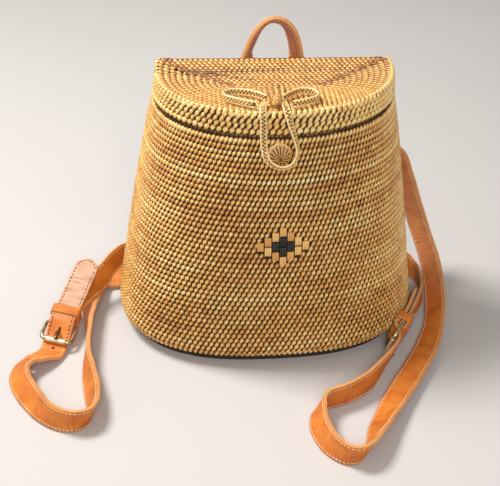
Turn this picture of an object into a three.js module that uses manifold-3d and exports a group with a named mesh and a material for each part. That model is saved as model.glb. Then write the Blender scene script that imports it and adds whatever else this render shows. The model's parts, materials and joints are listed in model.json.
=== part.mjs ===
// Woven straw backpack with a flap lid, leather carrying handle and two buckled shoulder straps.
// Millimetres, +Z up, front towards -Y, origin in the middle of the base board's flat underside.
import * as THREE from 'three';
import Module from 'manifold-3d';

// Driving sizes of the basket
const LID_TOP = 245;          // height of the lid's flat top
const SKIRT_LOW = 224;        // lower edge of the lid's skirt
const SHOULDER = 222.4;       // body shoulder under the skirt
const NECK_TOP = 240;         // body neck and back panel rise to here
const BACK_Y = 75;            // outer face of the flat back panel
const BOTTOM_Z = 8;           // underside of the woven bottom, above the base board
const BOTTOM_R = 11.3;        // rounding of the bottom edge
const WALL = 3;               // straw wall
const NECK_INSET = 4.2;       // neck stands inside the skirt
const NECK_WALL = 2.2;
const SKIRT_WALL = 2.6;
const LID_PLATE = 3;
const BACK_RISE = { from: 43, run: 30, rise: 3.3, tilt: -0.02 };  // lid's back edge swells up, more on the left
const CORNER_R = 12;          // upright back corners
const SIDE_SHARE = 0.185;     // share of the depth that runs straight before the front curve
const LEAN_X = 7.3;           // sideways lean of the hand-made basket over its height
const SKEW = 0.05;            // sideways drift of the front at lid height, per mm of depth
const BELLY = 7.9;            // bulge of the front between base and lid
const DEPTH_BASE = 136.6;
const DEPTH_LID = 115.3;
const BOARD_INSET = 10;       // recessed base board
const BOARD_H = 7.6;

// Half width of the plan at each height
const WIDTHS = [
  { z: 0, half: 140 }, { z: 19.3, half: 140 }, { z: 67.1, half: 133.5 }, { z: 138.7, half: 123.3 },
  { z: 196.8, half: 113.6 }, { z: 223.7, half: 108.4 }, { z: 245, half: 106.9 },
];

// Hinge cane along the lid's back edge
const HINGE = { y: 72.8, z: 242.8, r: 2.2, gap: 0.5, half: 92 };

// Leather and hardware
const STRAP = { width: 23, thick: 3.6, edge: 1.0 };
const SHORT = { width: 23, thick: 2.4, edge: 0.7 };
const HANDLE = { width: 20, thick: 3.8, edge: 1.1 };
const BAND = { width: 6, thick: 2.2, edge: 0.7 };
const FRAME = {
  outer: -13, hinge: 9, half: 14.6, corner: 5.5, tight: 2, wire: 1.4, side: 1.9, roller: 2.7, reach: 9.6, fold: 2.95,
};
const KEEPER = { from: 14.5, to: 24.5, half: 12.1, low: -3.5, high: 8.3, thick: 1.7, corner: 1.3 };
const PRONG = { wire: 0.9, wide: 1.25, ring: 2.65, tip: -14.8, tipW: 4.15 };
const BUTTON = { x: 0, z: 208.6, r: 9.9, h: 5.4, gap: 0.35 };
const KNOT = { x: -2.8, y: -27, z: 250, r: 4.3, half: 6.4 };
const PATCH = { x: 8, half: 47, low: 156, high: 209, y: 75.3, thick: 2, corner: 9 };
const HOLES = [107, 140];      // spare prong holes, measured from the strap tip
const RIVET = { r: 4.4, h: 2 };

const wasm = await Module();
wasm.setup();

// Smooth value through a table of heights
function widthAt(z) {
  const t = WIDTHS;
  if (z <= t[0].z) return t[0].half;
  for (let i = 1; i < t.length; i++) {
    if (z > t[i].z) continue;
    const a = t[Math.max(0, i - 2)], b = t[i - 1], c = t[i], d = t[Math.min(t.length - 1, i + 1)];
    const h = c.z - b.z, u = (z - b.z) / h;
    const m0 = i > 1 ? ((c.half - a.half) / (c.z - a.z)) * h : 0;
    const m1 = i < t.length - 1 ? ((d.half - b.half) / (d.z - b.z)) * h : c.half - b.half;
    return (2 * u ** 3 - 3 * u * u + 1) * b.half + (u ** 3 - 2 * u * u + u) * m0
      + (-2 * u ** 3 + 3 * u * u) * c.half + (u ** 3 - u * u) * m1;
  }
  return t[t.length - 1].half;
}
const depthAt = (z) => {
  const t = Math.min(1, z / SKIRT_LOW);
  return DEPTH_BASE + (DEPTH_LID - DEPTH_BASE) * t + BELLY * 4 * t * (1 - t);
};
const powerAt = (z) => 2.56 - 0.46 * Math.min(1, z / SKIRT_LOW);
const drift = (y, z) => (z / LID_TOP) * (LEAN_X - SKEW * (BACK_Y - y));

// One closed plan outline, counter-clockwise from above
function outline(z, inset = 0, backInset = inset, height = z) {
  const w = widthAt(z) - inset, d = depthAt(z) - inset, n = powerAt(z);
  const back = BACK_Y - backInset, s = SIDE_SHARE * depthAt(z);
  const r = Math.max(2, CORNER_R - inset);
  const pts = [];
  const FRONT = 30;
  for (let i = 0; i <= FRONT; i++) {
    const a = Math.PI * (1 - i / FRONT), c = Math.cos(a), q = Math.sin(a);
    const x = w * Math.sign(c) * Math.abs(c) ** (2 / n);
    const y = BACK_Y - s - (d - s) * Math.abs(q) ** (2 / n);
    pts.push([x, y]);
  }
  const CORNER = 4;
  for (let i = 0; i <= CORNER; i++) {
    const a = (Math.PI / 2) * (i / CORNER);
    pts.push([w - r + r * Math.cos(a), back - r + r * Math.sin(a)]);
  }
  for (const k of [0.6, 0.2, -0.2, -0.6]) pts.push([k * (w - r), back]);
  for (let i = 0; i <= CORNER; i++) {
    const a = (Math.PI / 2) * (1 + i / CORNER);
    pts.push([-(w - r) + r * Math.cos(a), back - r + r * Math.sin(a)]);
  }
  return pts.map(([x, y]) => [x + drift(y, height), y, height]);
}

// Indexed mesh from rings of equal length, both ends capped
function loft(rings) {
  const n = rings[0].length, verts = [], tris = [];
  rings.forEach((r) => r.forEach((p) => verts.push(p)));
  for (let k = 0; k + 1 < rings.length; k++) {
    for (let i = 0; i < n; i++) {
      const a = k * n + i, b = k * n + ((i + 1) % n);
      tris.push([a, b, b + n], [a, b + n, a + n]);
    }
  }
  const cap = (row, up) => {
    const ring = rings[row];
    const c = [0, 1, 2].map((k) => ring.reduce((s, p) => s + p[k], 0) / n);
    verts.push(c);
    const m = verts.length - 1;
    for (let i = 0; i < n; i++) {
      const a = row * n + i, b = row * n + ((i + 1) % n);
      tris.push(up ? [a, b, m] : [b, a, m]);
    }
  };
  cap(0, false);
  cap(rings.length - 1, true);
  return { verts, tris };
}

const toManifold = ({ verts, tris }) => new wasm.Manifold(new wasm.Mesh({
  numProp: 3, vertProperties: new Float32Array(verts.flat()), triVerts: new Uint32Array(tris.flat()),
}));
function fromManifold(m) {
  const g = m.getMesh(), verts = [], tris = [];
  for (let i = 0; i < g.vertProperties.length; i += g.numProp) {
    verts.push([g.vertProperties[i], g.vertProperties[i + 1], g.vertProperties[i + 2]]);
  }
  for (let i = 0; i < g.triVerts.length; i += 3) tris.push([...g.triVerts.slice(i, i + 3)]);
  return { verts, tris };
}

const vec = (p) => new THREE.Vector3(p[0], p[1], p[2]);

// Smooth path through stations, evenly spaced samples with a width direction each
function path(stations, step, fineRun = 0, coarse = step) {
  const centre = new THREE.CatmullRomCurve3(stations.map(vec), false, 'centripetal');
  const across = stations.map((s) => new THREE.Vector3(s[3], s[4], s[5]).normalize());
  const fine = 24 * (stations.length - 1);
  const dense = [];
  for (let i = 0; i <= fine; i++) dense.push(centre.getPoint(i / fine));
  const run = [0];
  for (let i = 1; i <= fine; i++) run.push(run[i - 1] + dense[i].distanceTo(dense[i - 1]));
  const total = run[fine], marks = [];
  for (let at = 0; at < total - step * 0.6; at += at < fineRun ? step : coarse) marks.push(at);
  marks.push(total);
  const out = [];
  let j = 0;
  for (const target of marks) {
    while (j < fine - 1 && run[j + 1] < target) j++;
    const f = (target - run[j]) / (run[j + 1] - run[j]);
    const u = ((j + f) / fine) * (stations.length - 1);
    const i = Math.min(stations.length - 2, Math.floor(u)), e = u - i;
    const ease = e * e * (3 - 2 * e);
    const t = centre.getTangent(Math.min(1, (j + f) / fine)).normalize();
    const w = across[i].clone().lerp(across[i + 1], ease);
    w.addScaledVector(t, -w.dot(t)).normalize();
    out.push({ p: dense[j].clone().lerp(dense[j + 1], f), t, w, run: target, total });
  }
  return out;
}

// Flat band with bevelled long edges; the far end can be rounded like a strap tip
function ribbon(samples, { width, thick, edge }, roundTip = false) {
  const rings = samples.map(({ p, t, w, run, total }) => {
    const n = t.clone().cross(w);
    let half = width / 2;
    const rest = total - run;
    if (roundTip && rest < half) half *= Math.max(0.3, Math.sqrt(1 - ((half - rest) / half) ** 2));
    const at = (a, b) => p.clone().addScaledVector(w, a).addScaledVector(n, b).toArray();
    const h = thick / 2, e = half - edge;
    return [at(-half, 0), at(-e, -h), at(e, -h), at(half, 0), at(e, h), at(-e, h)];
  });
  return loft(rings);
}

// Round wire along a path of points with a steady side direction
function wire(points, radius, side, sides = 8, closed = false) {
  const n = points.length, rings = [];
  for (let i = 0; i < n; i++) {
    const p = points[i];
    const a = points[closed ? (i + n - 1) % n : Math.max(0, i - 1)];
    const b = points[closed ? (i + 1) % n : Math.min(n - 1, i + 1)];
    const t = b.clone().sub(a).normalize();
    const u = side.clone().addScaledVector(t, -side.dot(t)).normalize(), v = t.clone().cross(u);
    const r = typeof radius === 'function' ? radius(i / (n - 1)) : radius;
    rings.push(Array.from({ length: sides }, (_, k) => {
      const q = (2 * Math.PI * k) / sides;
      return p.clone().addScaledVector(u, r * Math.cos(q)).addScaledVector(v, r * Math.sin(q)).toArray();
    }));
  }
  if (!closed) return loft(rings);
  const verts = rings.flat(), tris = [];
  for (let i = 0; i < n; i++) {
    for (let k = 0; k < sides; k++) {
      const a = i * sides + k, b = i * sides + ((k + 1) % sides);
      const c = ((i + 1) % n) * sides + k, d = ((i + 1) % n) * sides + ((k + 1) % sides);
      tris.push([a, b, d], [a, d, c]);
    }
  }
  return { verts, tris };
}

// Turned shape from a radius and height profile, placed by origin and axis
function turned(profile, origin, axis, seg = 20) {
  const z = axis.clone().normalize();
  const x = new THREE.Vector3(1, 0, 0).addScaledVector(z, -z.x).normalize(), y = z.clone().cross(x);
  return loft(profile.map(([r, h]) => Array.from({ length: seg }, (_, i) => {
    const a = (2 * Math.PI * i) / seg;
    return origin.clone().addScaledVector(z, h).addScaledVector(x, r * Math.cos(a))
      .addScaledVector(y, r * Math.sin(a)).toArray();
  })));
}

function block(min, max) {
  return wasm.Manifold.cube([max[0] - min[0], max[1] - min[1], max[2] - min[2]]).translate(min);
}

const COLOURS = {
  straw: 0xc79a56, straw_light: 0xdcc088, board: 0x3a2a1c, leather: 0xc9762c, brass: 0xb7a684,
};
const part = new THREE.Group();
part.name = 'woven_straw_backpack';

function add(name, { verts, tris }, slot) {
  const g = new THREE.BufferGeometry();
  g.setAttribute('position', new THREE.Float32BufferAttribute(verts.flat(), 3));
  g.setIndex(tris.flat());
  g.computeVertexNormals();
  const metal = slot === 'brass';
  const m = new THREE.MeshStandardMaterial({
    color: COLOURS[slot], roughness: metal ? 0.35 : 0.75, metalness: metal ? 1 : 0, flatShading: true,
  });
  m.name = slot;
  const mesh = new THREE.Mesh(g, m);
  mesh.name = name;
  part.add(mesh);
}

// Basket body: bellied wall, tight round bottom edge, neck that stands inside the lid
{
  const rings = [];
  for (const a of [0, 20, 40, 60, 78, 90]) {
    const q = (a * Math.PI) / 180;
    rings.push(outline(BOTTOM_Z + BOTTOM_R, BOTTOM_R * (1 - Math.sin(q)), undefined,
      BOTTOM_Z + BOTTOM_R * (1 - Math.cos(q))));
  }
  for (const z of [42, 67, 100, 138, 170, 197, 212, SHOULDER]) rings.push(outline(z));
  rings.push(outline(SHOULDER, NECK_INSET, 0));
  rings.push(outline(NECK_TOP, NECK_INSET, 0));
  rings.push(outline(NECK_TOP, NECK_INSET + NECK_WALL, WALL));
  rings.push(outline(SHOULDER - 2, NECK_INSET + NECK_WALL, WALL));
  for (const z of [SHOULDER - 8, 197, 138, 67, 26]) rings.push(outline(z, WALL));
  rings.push(outline(BOTTOM_Z + BOTTOM_R, WALL + 3, undefined, 15));
  rings.push(outline(BOTTOM_Z + BOTTOM_R, WALL + 9, undefined, BOTTOM_Z + WALL));
  add('basket_body', loft(rings), 'straw');
}

// Recessed flat base board under the woven bottom
add('base_board', loft([
  outline(0, BOARD_INSET, BOARD_INSET, 0), outline(0, BOARD_INSET, BOARD_INSET, BOARD_H),
]), 'board');

// Lid: flat plate and skirt on the front and sides, open at the back where it turns
{
  const swell = (ring) => ring.map(([x, y, z]) => {
    const t = Math.min(1, Math.max(0, (y - BACK_RISE.from) / BACK_RISE.run));
    return [x, y, z + t * t * (3 - 2 * t) * (BACK_RISE.rise + BACK_RISE.tilt * x)];
  });
  const shell = toManifold(loft([
    outline(SKIRT_LOW), outline(SKIRT_LOW + 10), swell(outline(LID_TOP, 0, 0, LID_TOP - 2.4)),
    swell(outline(LID_TOP, 0.8, 0.8, LID_TOP - 0.8)), swell(outline(LID_TOP, 2.6, 2.6, LID_TOP)),
    swell(outline(LID_TOP, 16, 16, LID_TOP)), outline(LID_TOP, 34, 34, LID_TOP),
  ]));
  const hollow = toManifold(loft([
    outline(SKIRT_LOW, SKIRT_WALL, SKIRT_WALL, SKIRT_LOW - 1),
    outline(LID_TOP, SKIRT_WALL, SKIRT_WALL, LID_TOP - LID_PLATE),
  ]));
  const openBack = block([-200, 62, SKIRT_LOW - 5], [200, 100, LID_TOP - LID_PLATE]);
  const cutBack = HINGE.y - HINGE.r - HINGE.gap;
  const caneSeat = block([LEAN_X - HINGE.half - 1, cutBack, SKIRT_LOW], [LEAN_X + HINGE.half + 1, 100, LID_TOP + 10]);
  add('lid', fromManifold(shell.subtract(hollow).subtract(openBack).subtract(caneSeat)), 'straw');
}

// Round cane along the back edge that the lid turns on
add('hinge_cane', wire(
  [-1, -0.33, 0.33, 1].map((k) => new THREE.Vector3(LEAN_X + k * HINGE.half, HINGE.y, HINGE.z)),
  HINGE.r, new THREE.Vector3(0, 0, 1), 12,
), 'straw');

// Button: low dome on the body front, just above the hanging loop's lower bend
{
  const y = BACK_Y - depthAt(BUTTON.z);
  const slope = (depthAt(BUTTON.z + 5) - depthAt(BUTTON.z - 5)) / 10;
  const axis = new THREE.Vector3(0, -1, -slope).normalize();
  const origin = new THREE.Vector3(BUTTON.x, y, BUTTON.z).addScaledVector(axis, BUTTON.gap);
  const { r, h } = BUTTON;
  add('button', turned([
    [r * 0.9, 0], [r, 0.8], [r * 0.93, 1.9], [r * 0.72, 3.6], [r * 0.42, h - 0.5], [r * 0.12, h],
  ], origin, axis, 22), 'straw_light');
}

// Routes: x, y, z of the middle line, then the direction across the band
const BOW_LEFT = [
  [-9.5, -19.5, 249.2, 0, 0.2, 0.98], [-17.4, -11.5, 249.2, 0, 0.25, 0.97], [-27.1, -6, 249.2, 0, 0.3, 0.95],
  [-38.8, -4.5, 249.2, 0, 0.15, 1], [-45.2, -9, 249, 0, 0, 1], [-43, -16.8, 249, 0, 0.3, 0.95],
  [-33, -24.8, 249.2, 0, 0.45, 0.9], [-25.5, -29.4, 249.2, 0, 0.45, 0.9], [-20.2, -31.6, 249, 0, 0.4, 0.92],
];
const BOW_RIGHT = [
  [5.2, -19.8, 249.2, 0, 0.2, 0.98], [12, -12.5, 249.2, 0, 0.25, 0.97], [21.5, -6.6, 249.2, 0, 0.3, 0.95],
  [30.5, -8.4, 249.2, 0, 0.15, 1], [35, -15.5, 249, 0, 0, 1], [31.5, -23.4, 249, 0, 0.3, 0.95],
  [22, -29.2, 249.2, 0, 0.45, 0.9], [12, -32.6, 249.2, 0, 0.45, 0.9],
];
const CLOSURE_LOOP = [
  [-9.6, -24.2, 248.2, -0.8, 0.6, 0], [-13, -30, 248.4, -0.95, 0.3, 0], [-14.3, -37, 248.2, -1, 0, 0],
  [-14.6, -41.8, 245.4, -1, 0, 0], [-14.3, -43.4, 238, -1, 0, 0], [-14.2, -44.6, 226, -1, 0, 0],
  [-13.6, -47, 215, -0.97, 0.2, -0.15], [-11.2, -50.2, 206.5, -0.8, 0.4, -0.45], [-5, -52, 201.2, -0.42, 0.5, -0.75],
  [2.1, -52.4, 199.4, 0, 0.55, -0.83], [8.9, -51.8, 201.4, 0.4, 0.6, -0.7], [13.2, -50, 206.5, 0.55, 0.75, -0.35],
  [14.4, -48.2, 213, 0.4, 0.92, 0.05], [13.4, -46.9, 220, 0.5, 0.85, 0.2], [10.6, -46, 229, 0.6, 0.75, 0.2],
  [7.6, -44.6, 239, 0.8, 0.5, 0.2], [5.9, -42, 245.4, 1, 0.1, 0], [5, -37, 248.2, 1, 0.1, 0],
  [4.6, -31, 248.4, 1, 0, 0], [4.4, -25.5, 248.2, 1, 0, 0],
];
const HANDLE_ROUTE = [
  [-14.5, 79.7, 195, 1, 0, 0], [-14.5, 79.7, 208, 1, 0, 0], [-14.6, 80.4, 218, 0.97, 0.2, 0],
  [-15.2, 84.6, 231, 0.78, 0.62, 0], [-15.5, 88.7, 244, 0.46, 0.89, 0], [-12.7, 88.9, 252, 0.42, 0.89, -0.15],
  [-9.4, 88.7, 260.5, 0.36, 0.87, -0.3], [-4.6, 88.6, 268.7, 0.22, 0.86, -0.42], [1.3, 88.6, 274.6, 0.1, 0.86, -0.48],
  [8.8, 88.6, 277, 0, 0.86, -0.5], [17.4, 88.6, 274.2, -0.1, 0.86, -0.48], [23.3, 88.6, 267.5, -0.22, 0.86, -0.42],
  [26.8, 88.7, 259, -0.36, 0.87, -0.3], [28.8, 88.9, 250.7, -0.42, 0.89, -0.15], [30.2, 88.7, 242.4, -0.46, 0.89, 0],
  [30.4, 84.6, 231, -0.78, 0.62, 0], [30.5, 80.4, 218, -0.97, 0.2, 0], [30.5, 79.7, 208, -1, 0, 0],
  [30.5, 79.7, 195, -1, 0, 0],
];
const LONG_LEFT = [
  [-4, 79.6, 173, -0.88, 0, 0.48], [-12, 80.2, 157, -0.88, 0, 0.48], [-27, 98, 112, -0.8, 0.3, 0.5],
  [-48, 128, 66, -0.6, 0.6, 0.5], [-82, 136, 27, -0.4, 0.75, 0.5], [-112, 118, 13, -0.25, 0.85, 0.45],
  [-131, 95, 8.5, -0.2, 0.9, 0.4], [-144, 86.5, 7.5, -0.1, 0.9, 0.42], [-156.3, 84, 8, -0.2, 0.9, 0.3],
  [-165.2, 73, 9.5, -0.44, 0.89, 0.05], [-169, 49.2, 9.5, -0.47, 0.86, -0.25],
  [-170.4, 20.4, 10.5, -0.31, 0.71, -0.63], [-170.6, -6.6, 11.6, -0.18, 0.33, -0.93],
  [-171.4, -31.4, 12.1, -0.11, 0.13, -0.99], [-172.4, -51.2, 12.1, -0.23, 0.12, -0.96],
  [-170.2, -75.5, 11.6, -0.46, 0.16, -0.87], [-167.3, -95.8, 11, -0.55, 0.2, -0.8],
  [-165.9, -117.3, 11.3, -0.46, 0.15, -0.86], [-168.6, -134.2, 12, -0.24, 0.12, -0.96],
  [-179.4, -140.3, 12.2, -0.17, 0.08, -0.98], [-191.6, -138, 12.2, -0.21, 0.02, -0.98],
  [-203.7, -128.9, 12, -0.36, 0.03, -0.93], [-215.5, -111.2, 11, -0.6, 0.02, -0.8],
  [-224.5, -93.5, 10.2, -0.72, 0.08, -0.69], [-230.5, -77.3, 9.6, -0.77, 0.09, -0.63],
  [-231.5, -63, 9.6, -0.78, 0.18, -0.6], [-226.5, -52.5, 9.8, -0.8, 0.35, -0.48],
  [-218, -44.5, 8.4, -0.88, 0.4, -0.2],
];
const LONG_RIGHT = [
  [22, 79.6, 175, -0.5, 0, -0.87], [38, 80.2, 167, -0.5, 0, -0.87], [70, 84, 157, -0.4, 0.1, -0.9],
  [105, 90, 147, -0.43, 0.3, -0.85], [130.7, 92, 133.9, -0.46, 0.43, -0.78],
  [141.4, 92, 110.1, -0.53, 0.46, -0.72], [152.7, 90, 78.9, -0.56, 0.57, -0.6],
  [162.6, 84, 49.9, -0.61, 0.56, -0.56], [168.6, 70, 32, -0.62, 0.58, -0.53],
  [169.2, 47.3, 22, -0.58, 0.65, -0.5], [165.4, 16.1, 15, -0.53, 0.69, -0.49],
  [157.8, -16, 11.6, -0.51, 0.7, -0.5], [144.4, -49.6, 8.4, -0.56, 0.79, -0.24],
  [129.2, -76.7, 7.2, -0.58, 0.8, -0.15], [112.4, -103.5, 6.8, -0.57, 0.82, -0.12],
  [96.8, -128.7, 7.4, -0.58, 0.78, -0.25], [79.7, -158.8, 9.2, -0.46, 0.74, -0.5],
  [65.8, -186.7, 11.3, -0.33, 0.49, -0.81], [55.2, -200.9, 12.1, -0.19, 0.22, -0.96],
  [44.7, -201.3, 12.1, -0.23, 0.22, -0.95], [34.3, -191.1, 11.8, -0.35, 0.25, -0.9],
  [27.8, -174.2, 10.8, -0.5, 0.34, -0.8], [25.5, -157, 10.4, -0.52, 0.42, -0.74],
  [26.9, -143.2, 11, -0.44, 0.38, -0.81], [31.2, -133.9, 12, -0.23, 0.23, -0.95],
  [38.4, -128.6, 12.2, -0.07, 0.1, -0.99], [47.5, -125.5, 12.2, -0.02, 0.04, -1],
  [57.3, -121.4, 12.3, 0.01, 0.04, -1], [67.8, -115.1, 12.6, 0.03, 0.03, -1],
  [79, -106.4, 13.4, 0.03, 0.03, -1],
];
const SHORT_LEFT = [
  [-181.5, 28, 21.4, -0.88, 0.1, 0.05], [-171.2, 42.5, 24.2, -0.84, 0, 0.3], [-161, 54, 27, -0.7, -0.27, 0.5],
  [-151.8, 63.6, 34.2, -0.48, -0.38, 0.76], [-143.3, 73, 38.8, -0.39, -0.3, 0.87], [-134, 79, 41.6, -0.31, -0.17, 0.94],
  [-117, 77.4, 44, -0.1, 0, 1], [-96, 77, 44, 0, 0, 1],
];
const SHORT_RIGHT = [
  [152.4, 20.8, 14.4, 0.03, -0.06, -1], [157, 45.3, 12.6, 0.05, -0.07, -1],
  [156.8, 62, 12.4, 0.02, -0.09, -1], [151, 76.5, 14.4, 0.02, -0.05, -1], [139, 79.6, 20, -0.2, 0, -0.98],
  [121, 77.2, 30, -0.4, 0, -0.92], [102, 77, 40, -0.46, 0, -0.89],
];

add('bow_left', ribbon(path(BOW_LEFT, 5), BAND), 'straw_light');
add('bow_right', ribbon(path(BOW_RIGHT, 5), BAND), 'straw_light');
add('closure_loop', ribbon(path(CLOSURE_LOOP, 4.5), BAND), 'straw_light');
add('closure_knot', turned([
  [KNOT.r * 0.6, -KNOT.half], [KNOT.r * 0.9, -KNOT.half * 0.7], [KNOT.r, -KNOT.half * 0.2], [KNOT.r, KNOT.half * 0.2],
  [KNOT.r * 0.9, KNOT.half * 0.7], [KNOT.r * 0.6, KNOT.half],
], new THREE.Vector3(KNOT.x, KNOT.y, KNOT.z), new THREE.Vector3(0, 1, 0), 14), 'straw');
add('top_handle', ribbon(path(HANDLE_ROUTE, 8), HANDLE), 'leather');

// Buckle place: origin between the bars, along towards the free tip, up towards the visible side
function place(origin, along, up) {
  const a = vec(along).normalize();
  const n = vec(up).addScaledVector(a, -vec(up).dot(a)).normalize();
  const c = n.clone().cross(a);
  const at = (u, v, w) => vec(origin).addScaledVector(a, u).addScaledVector(c, v).addScaledVector(n, w);
  return { at, a, c, n };
}

// Cut through a band with a box given in buckle axes
function cut(solid, { at, a, c, n }, min, max) {
  const mid = [0, 1, 2].map((k) => (min[k] + max[k]) / 2);
  const o = at(...mid);
  const box = wasm.Manifold.cube([max[0] - min[0], max[1] - min[1], max[2] - min[2]], true)
    .transform([...a.toArray(), 0, ...c.toArray(), 0, ...n.toArray(), 0, ...o.toArray(), 1]);
  return solid.subtract(box);
}

// One fastened buckle: frame, prong, keeper, long strap through it and short strap folded round its bar
function buckled(side, seat, longRoute, longTail, shortRoute) {
  const { at, c } = seat;
  const row = (u, w, across) => [...at(u, 0, w).toArray(), ...across.toArray()];
  const down = c.clone();
  const through = [
    row(-24, -5.2, down), row(-18, -5.1, down), row(-13, -4.95, down), row(-9.5, -4.4, down), row(-4, -2, down),
    row(2, 2.4, down),
    row(8, 6.9, down), row(14, 6.1, down), row(20, 5.1, down), row(28, 5.2, down),
    ...longTail.map(([u, v, w]) => [...at(u, v, w).toArray(), ...down.toArray()]),
  ];
  const long = path([...longRoute, ...through], 8.2);
  let strap = toManifold(ribbon(long, STRAP, true));
  strap = cut(strap, seat, [-2.7, -1.5, -6], [7.6, 1.5, 9]);
  const total = long[long.length - 1].total;
  for (const fromTip of HOLES) {
    const h = long.reduce((m, q) => (Math.abs(total - q.run - fromTip) < Math.abs(total - m.run - fromTip) ? q : m));
    const n = h.t.clone().cross(h.w);
    const box = wasm.Manifold.cylinder(8, 1.5, 1.5, 8, true)
      .transform([...h.w.toArray(), 0, ...h.t.clone().negate().toArray(), 0, ...n.toArray(), 0, ...h.p.toArray(), 1]);
    strap = strap.subtract(box);
  }
  add(`long_strap_${side}`, fromManifold(strap), 'leather');

  const bar = FRAME.hinge;
  const bend = [-105, -130, -155, -180, -205, -230, -255].map((deg) => {
    const q = (deg * Math.PI) / 180;
    return [bar + FRAME.fold * Math.cos(q), FRAME.fold * Math.sin(q)];
  });
  const fold = [[31, -1.65], [22, -1.6], [16, -1.8], [bar + 1.6, -2.8], ...bend,
    [bar + 1.6, 2.8], [16, 1.6], [22, 1.35], [30, 1.3]];
  const shortPath = path([...fold.map(([u, w]) => row(u, w, down)), ...shortRoute], 3.2, 40, 8);
  let short = toManifold(ribbon(shortPath, SHORT));
  short = cut(short, seat, [1, -2, -6], [13, 2, 6]);
  add(`short_strap_${side}`, fromManifold(short), 'leather');

  const f = FRAME, ring = [];
  const corner = (u, v, from, r = f.corner) => {
    for (let i = 0; i <= 4; i++) {
      const q = from + (Math.PI / 8) * i;
      ring.push(at(u + r * Math.cos(q), v + r * Math.sin(q), 0));
    }
  };
  corner(f.hinge - f.tight, f.half - f.tight, 0, f.tight);
  corner(f.outer + f.corner, f.half - f.corner, Math.PI / 2);
  corner(f.outer + f.corner, -f.half + f.corner, Math.PI);
  corner(f.hinge - f.tight, -f.half + f.tight, Math.PI * 1.5, f.tight);
  const thick = (t) => (t > 0.25 && t < 0.75 ? f.side : f.wire);
  const roller = wire([at(f.outer, -f.reach, 0), at(f.outer, f.reach, 0)], f.roller, seat.n, 12);
  add(`buckle_frame_${side}`, fromManifold(toManifold(wire(ring, thick, seat.n, 8, true)).add(toManifold(roller))), 'brass');

  const taper = (t) => (t > 0.97 ? 1 : t > 0.9 ? PRONG.wide : PRONG.wire);
  add(`prong_${side}`, wire(prongLine(bar).map(([u, w]) => at(u, 0, w)), taper, c, 8), 'brass');

  const k = KEEPER, loop = [];
  const turn = (v, w, from) => {
    for (let i = 0; i <= 3; i++) {
      const q = from + (Math.PI / 6) * i;
      loop.push([v + k.corner * Math.cos(q), w + k.corner * Math.sin(q)]);
    }
  };
  turn(k.half - k.corner, k.high - k.corner, 0);
  turn(-k.half + k.corner, k.high - k.corner, Math.PI / 2);
  turn(-k.half + k.corner, k.low + k.corner, Math.PI);
  turn(k.half - k.corner, k.low + k.corner, Math.PI * 1.5);
  add(`keeper_${side}`, hoop(loop, k, at), 'leather');
}

// Middle line of the prong: open ring round the bar, then straight out over the far bar
function prongLine(bar) {
  const line = [];
  for (let deg = -170; deg <= 90; deg += 20) {
    const q = (deg * Math.PI) / 180;
    line.push([bar + PRONG.ring * Math.cos(q), PRONG.ring * Math.sin(q)]);
  }
  line.push([bar - 5, PRONG.ring + 0.05], [-2.5, 2.75], [-8, PRONG.tipW], [PRONG.tip, PRONG.tipW]);
  return line;
}

// Closed leather hoop round both straps
function hoop(loop, { from, to, thick }, at) {
  const n = loop.length, verts = [], tris = [];
  const mid = [0, 1].map((k) => loop.reduce((s, p) => s + p[k], 0) / n);
  for (const [v, w] of loop) {
    const d = Math.hypot(v - mid[0], w - mid[1]);
    const ov = v + (thick * (v - mid[0])) / d, ow = w + (thick * (w - mid[1])) / d;
    verts.push(at(from, v, w), at(to, v, w), at(to, ov, ow), at(from, ov, ow));
  }
  for (let i = 0; i < n; i++) {
    for (let k = 0; k < 4; k++) {
      const a = i * 4 + k, b = i * 4 + ((k + 1) % 4);
      const c = ((i + 1) % n) * 4 + k, d = ((i + 1) % n) * 4 + ((k + 1) % 4);
      tris.push([a, b, d], [a, d, c]);
    }
  }
  return { verts: verts.map((p) => p.toArray()), tris };
}

const LEFT_SEAT = place([-198.1, -10.4, 13.5], [8.7, 28.9, 5], [0.1, -0.1, 1]);
const RIGHT_SEAT = place([112.3, -50.4, 16.3], [36, 55, 0], [-0.84, 0.55, 0.3]);
const LEFT_TAIL = [[42, -1, 7], [56, -2, 11.2], [70, -3.2, 15.2], [82, -4, 18.6]];
const RIGHT_TAIL = [[40, 0, 6.2], [52, 0, 7.9], [64, 0, 9.8], [76, 0, 11.2]];
buckled('left', LEFT_SEAT, LONG_LEFT, LEFT_TAIL, SHORT_LEFT);
buckled('right', RIGHT_SEAT, LONG_RIGHT, RIGHT_TAIL, SHORT_RIGHT);

// Leather patch on the back that carries the handle and the upper strap ends
{
  const { x, half, low, high, y, thick, corner: r } = PATCH;
  const flat = [];
  [[x + half - r, low + r, -90], [x + half - r, high - r, 0], [x - half + r, high - r, 90], [x - half + r, low + r, 180]]
    .forEach(([cx, cz, from]) => {
      for (let i = 0; i <= 4; i++) {
        const q = ((from + i * 22.5) * Math.PI) / 180;
        flat.push([cx + r * Math.cos(q), cz + r * Math.sin(q)]);
      }
    });
  add('back_patch', loft([y + thick, y].map((v) => flat.map(([a, b]) => [a, v, b]))), 'leather');
}

// Plain domed rivets through each fixed leather end: x, y of the leather's outer face, z
const RIVETS = {
  handle_left: [-14.5, 82, 201], handle_right: [30.5, 82, 201], long_left: [-7.5, 82.1, 165.5],
  long_right: [29, 82.1, 171], short_left: [-103, 78.6, 44], short_right: [109, 78.6, 36.4],
};
for (const [name, spot] of Object.entries(RIVETS)) {
  add(`rivet_${name}`, turned([
    [RIVET.r, 0], [RIVET.r, 0.7], [RIVET.r * 0.75, RIVET.h - 0.3], [RIVET.r * 0.3, RIVET.h],
  ], vec(spot), new THREE.Vector3(0, 1, 0), 12), 'brass');
}

export default part;
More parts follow.
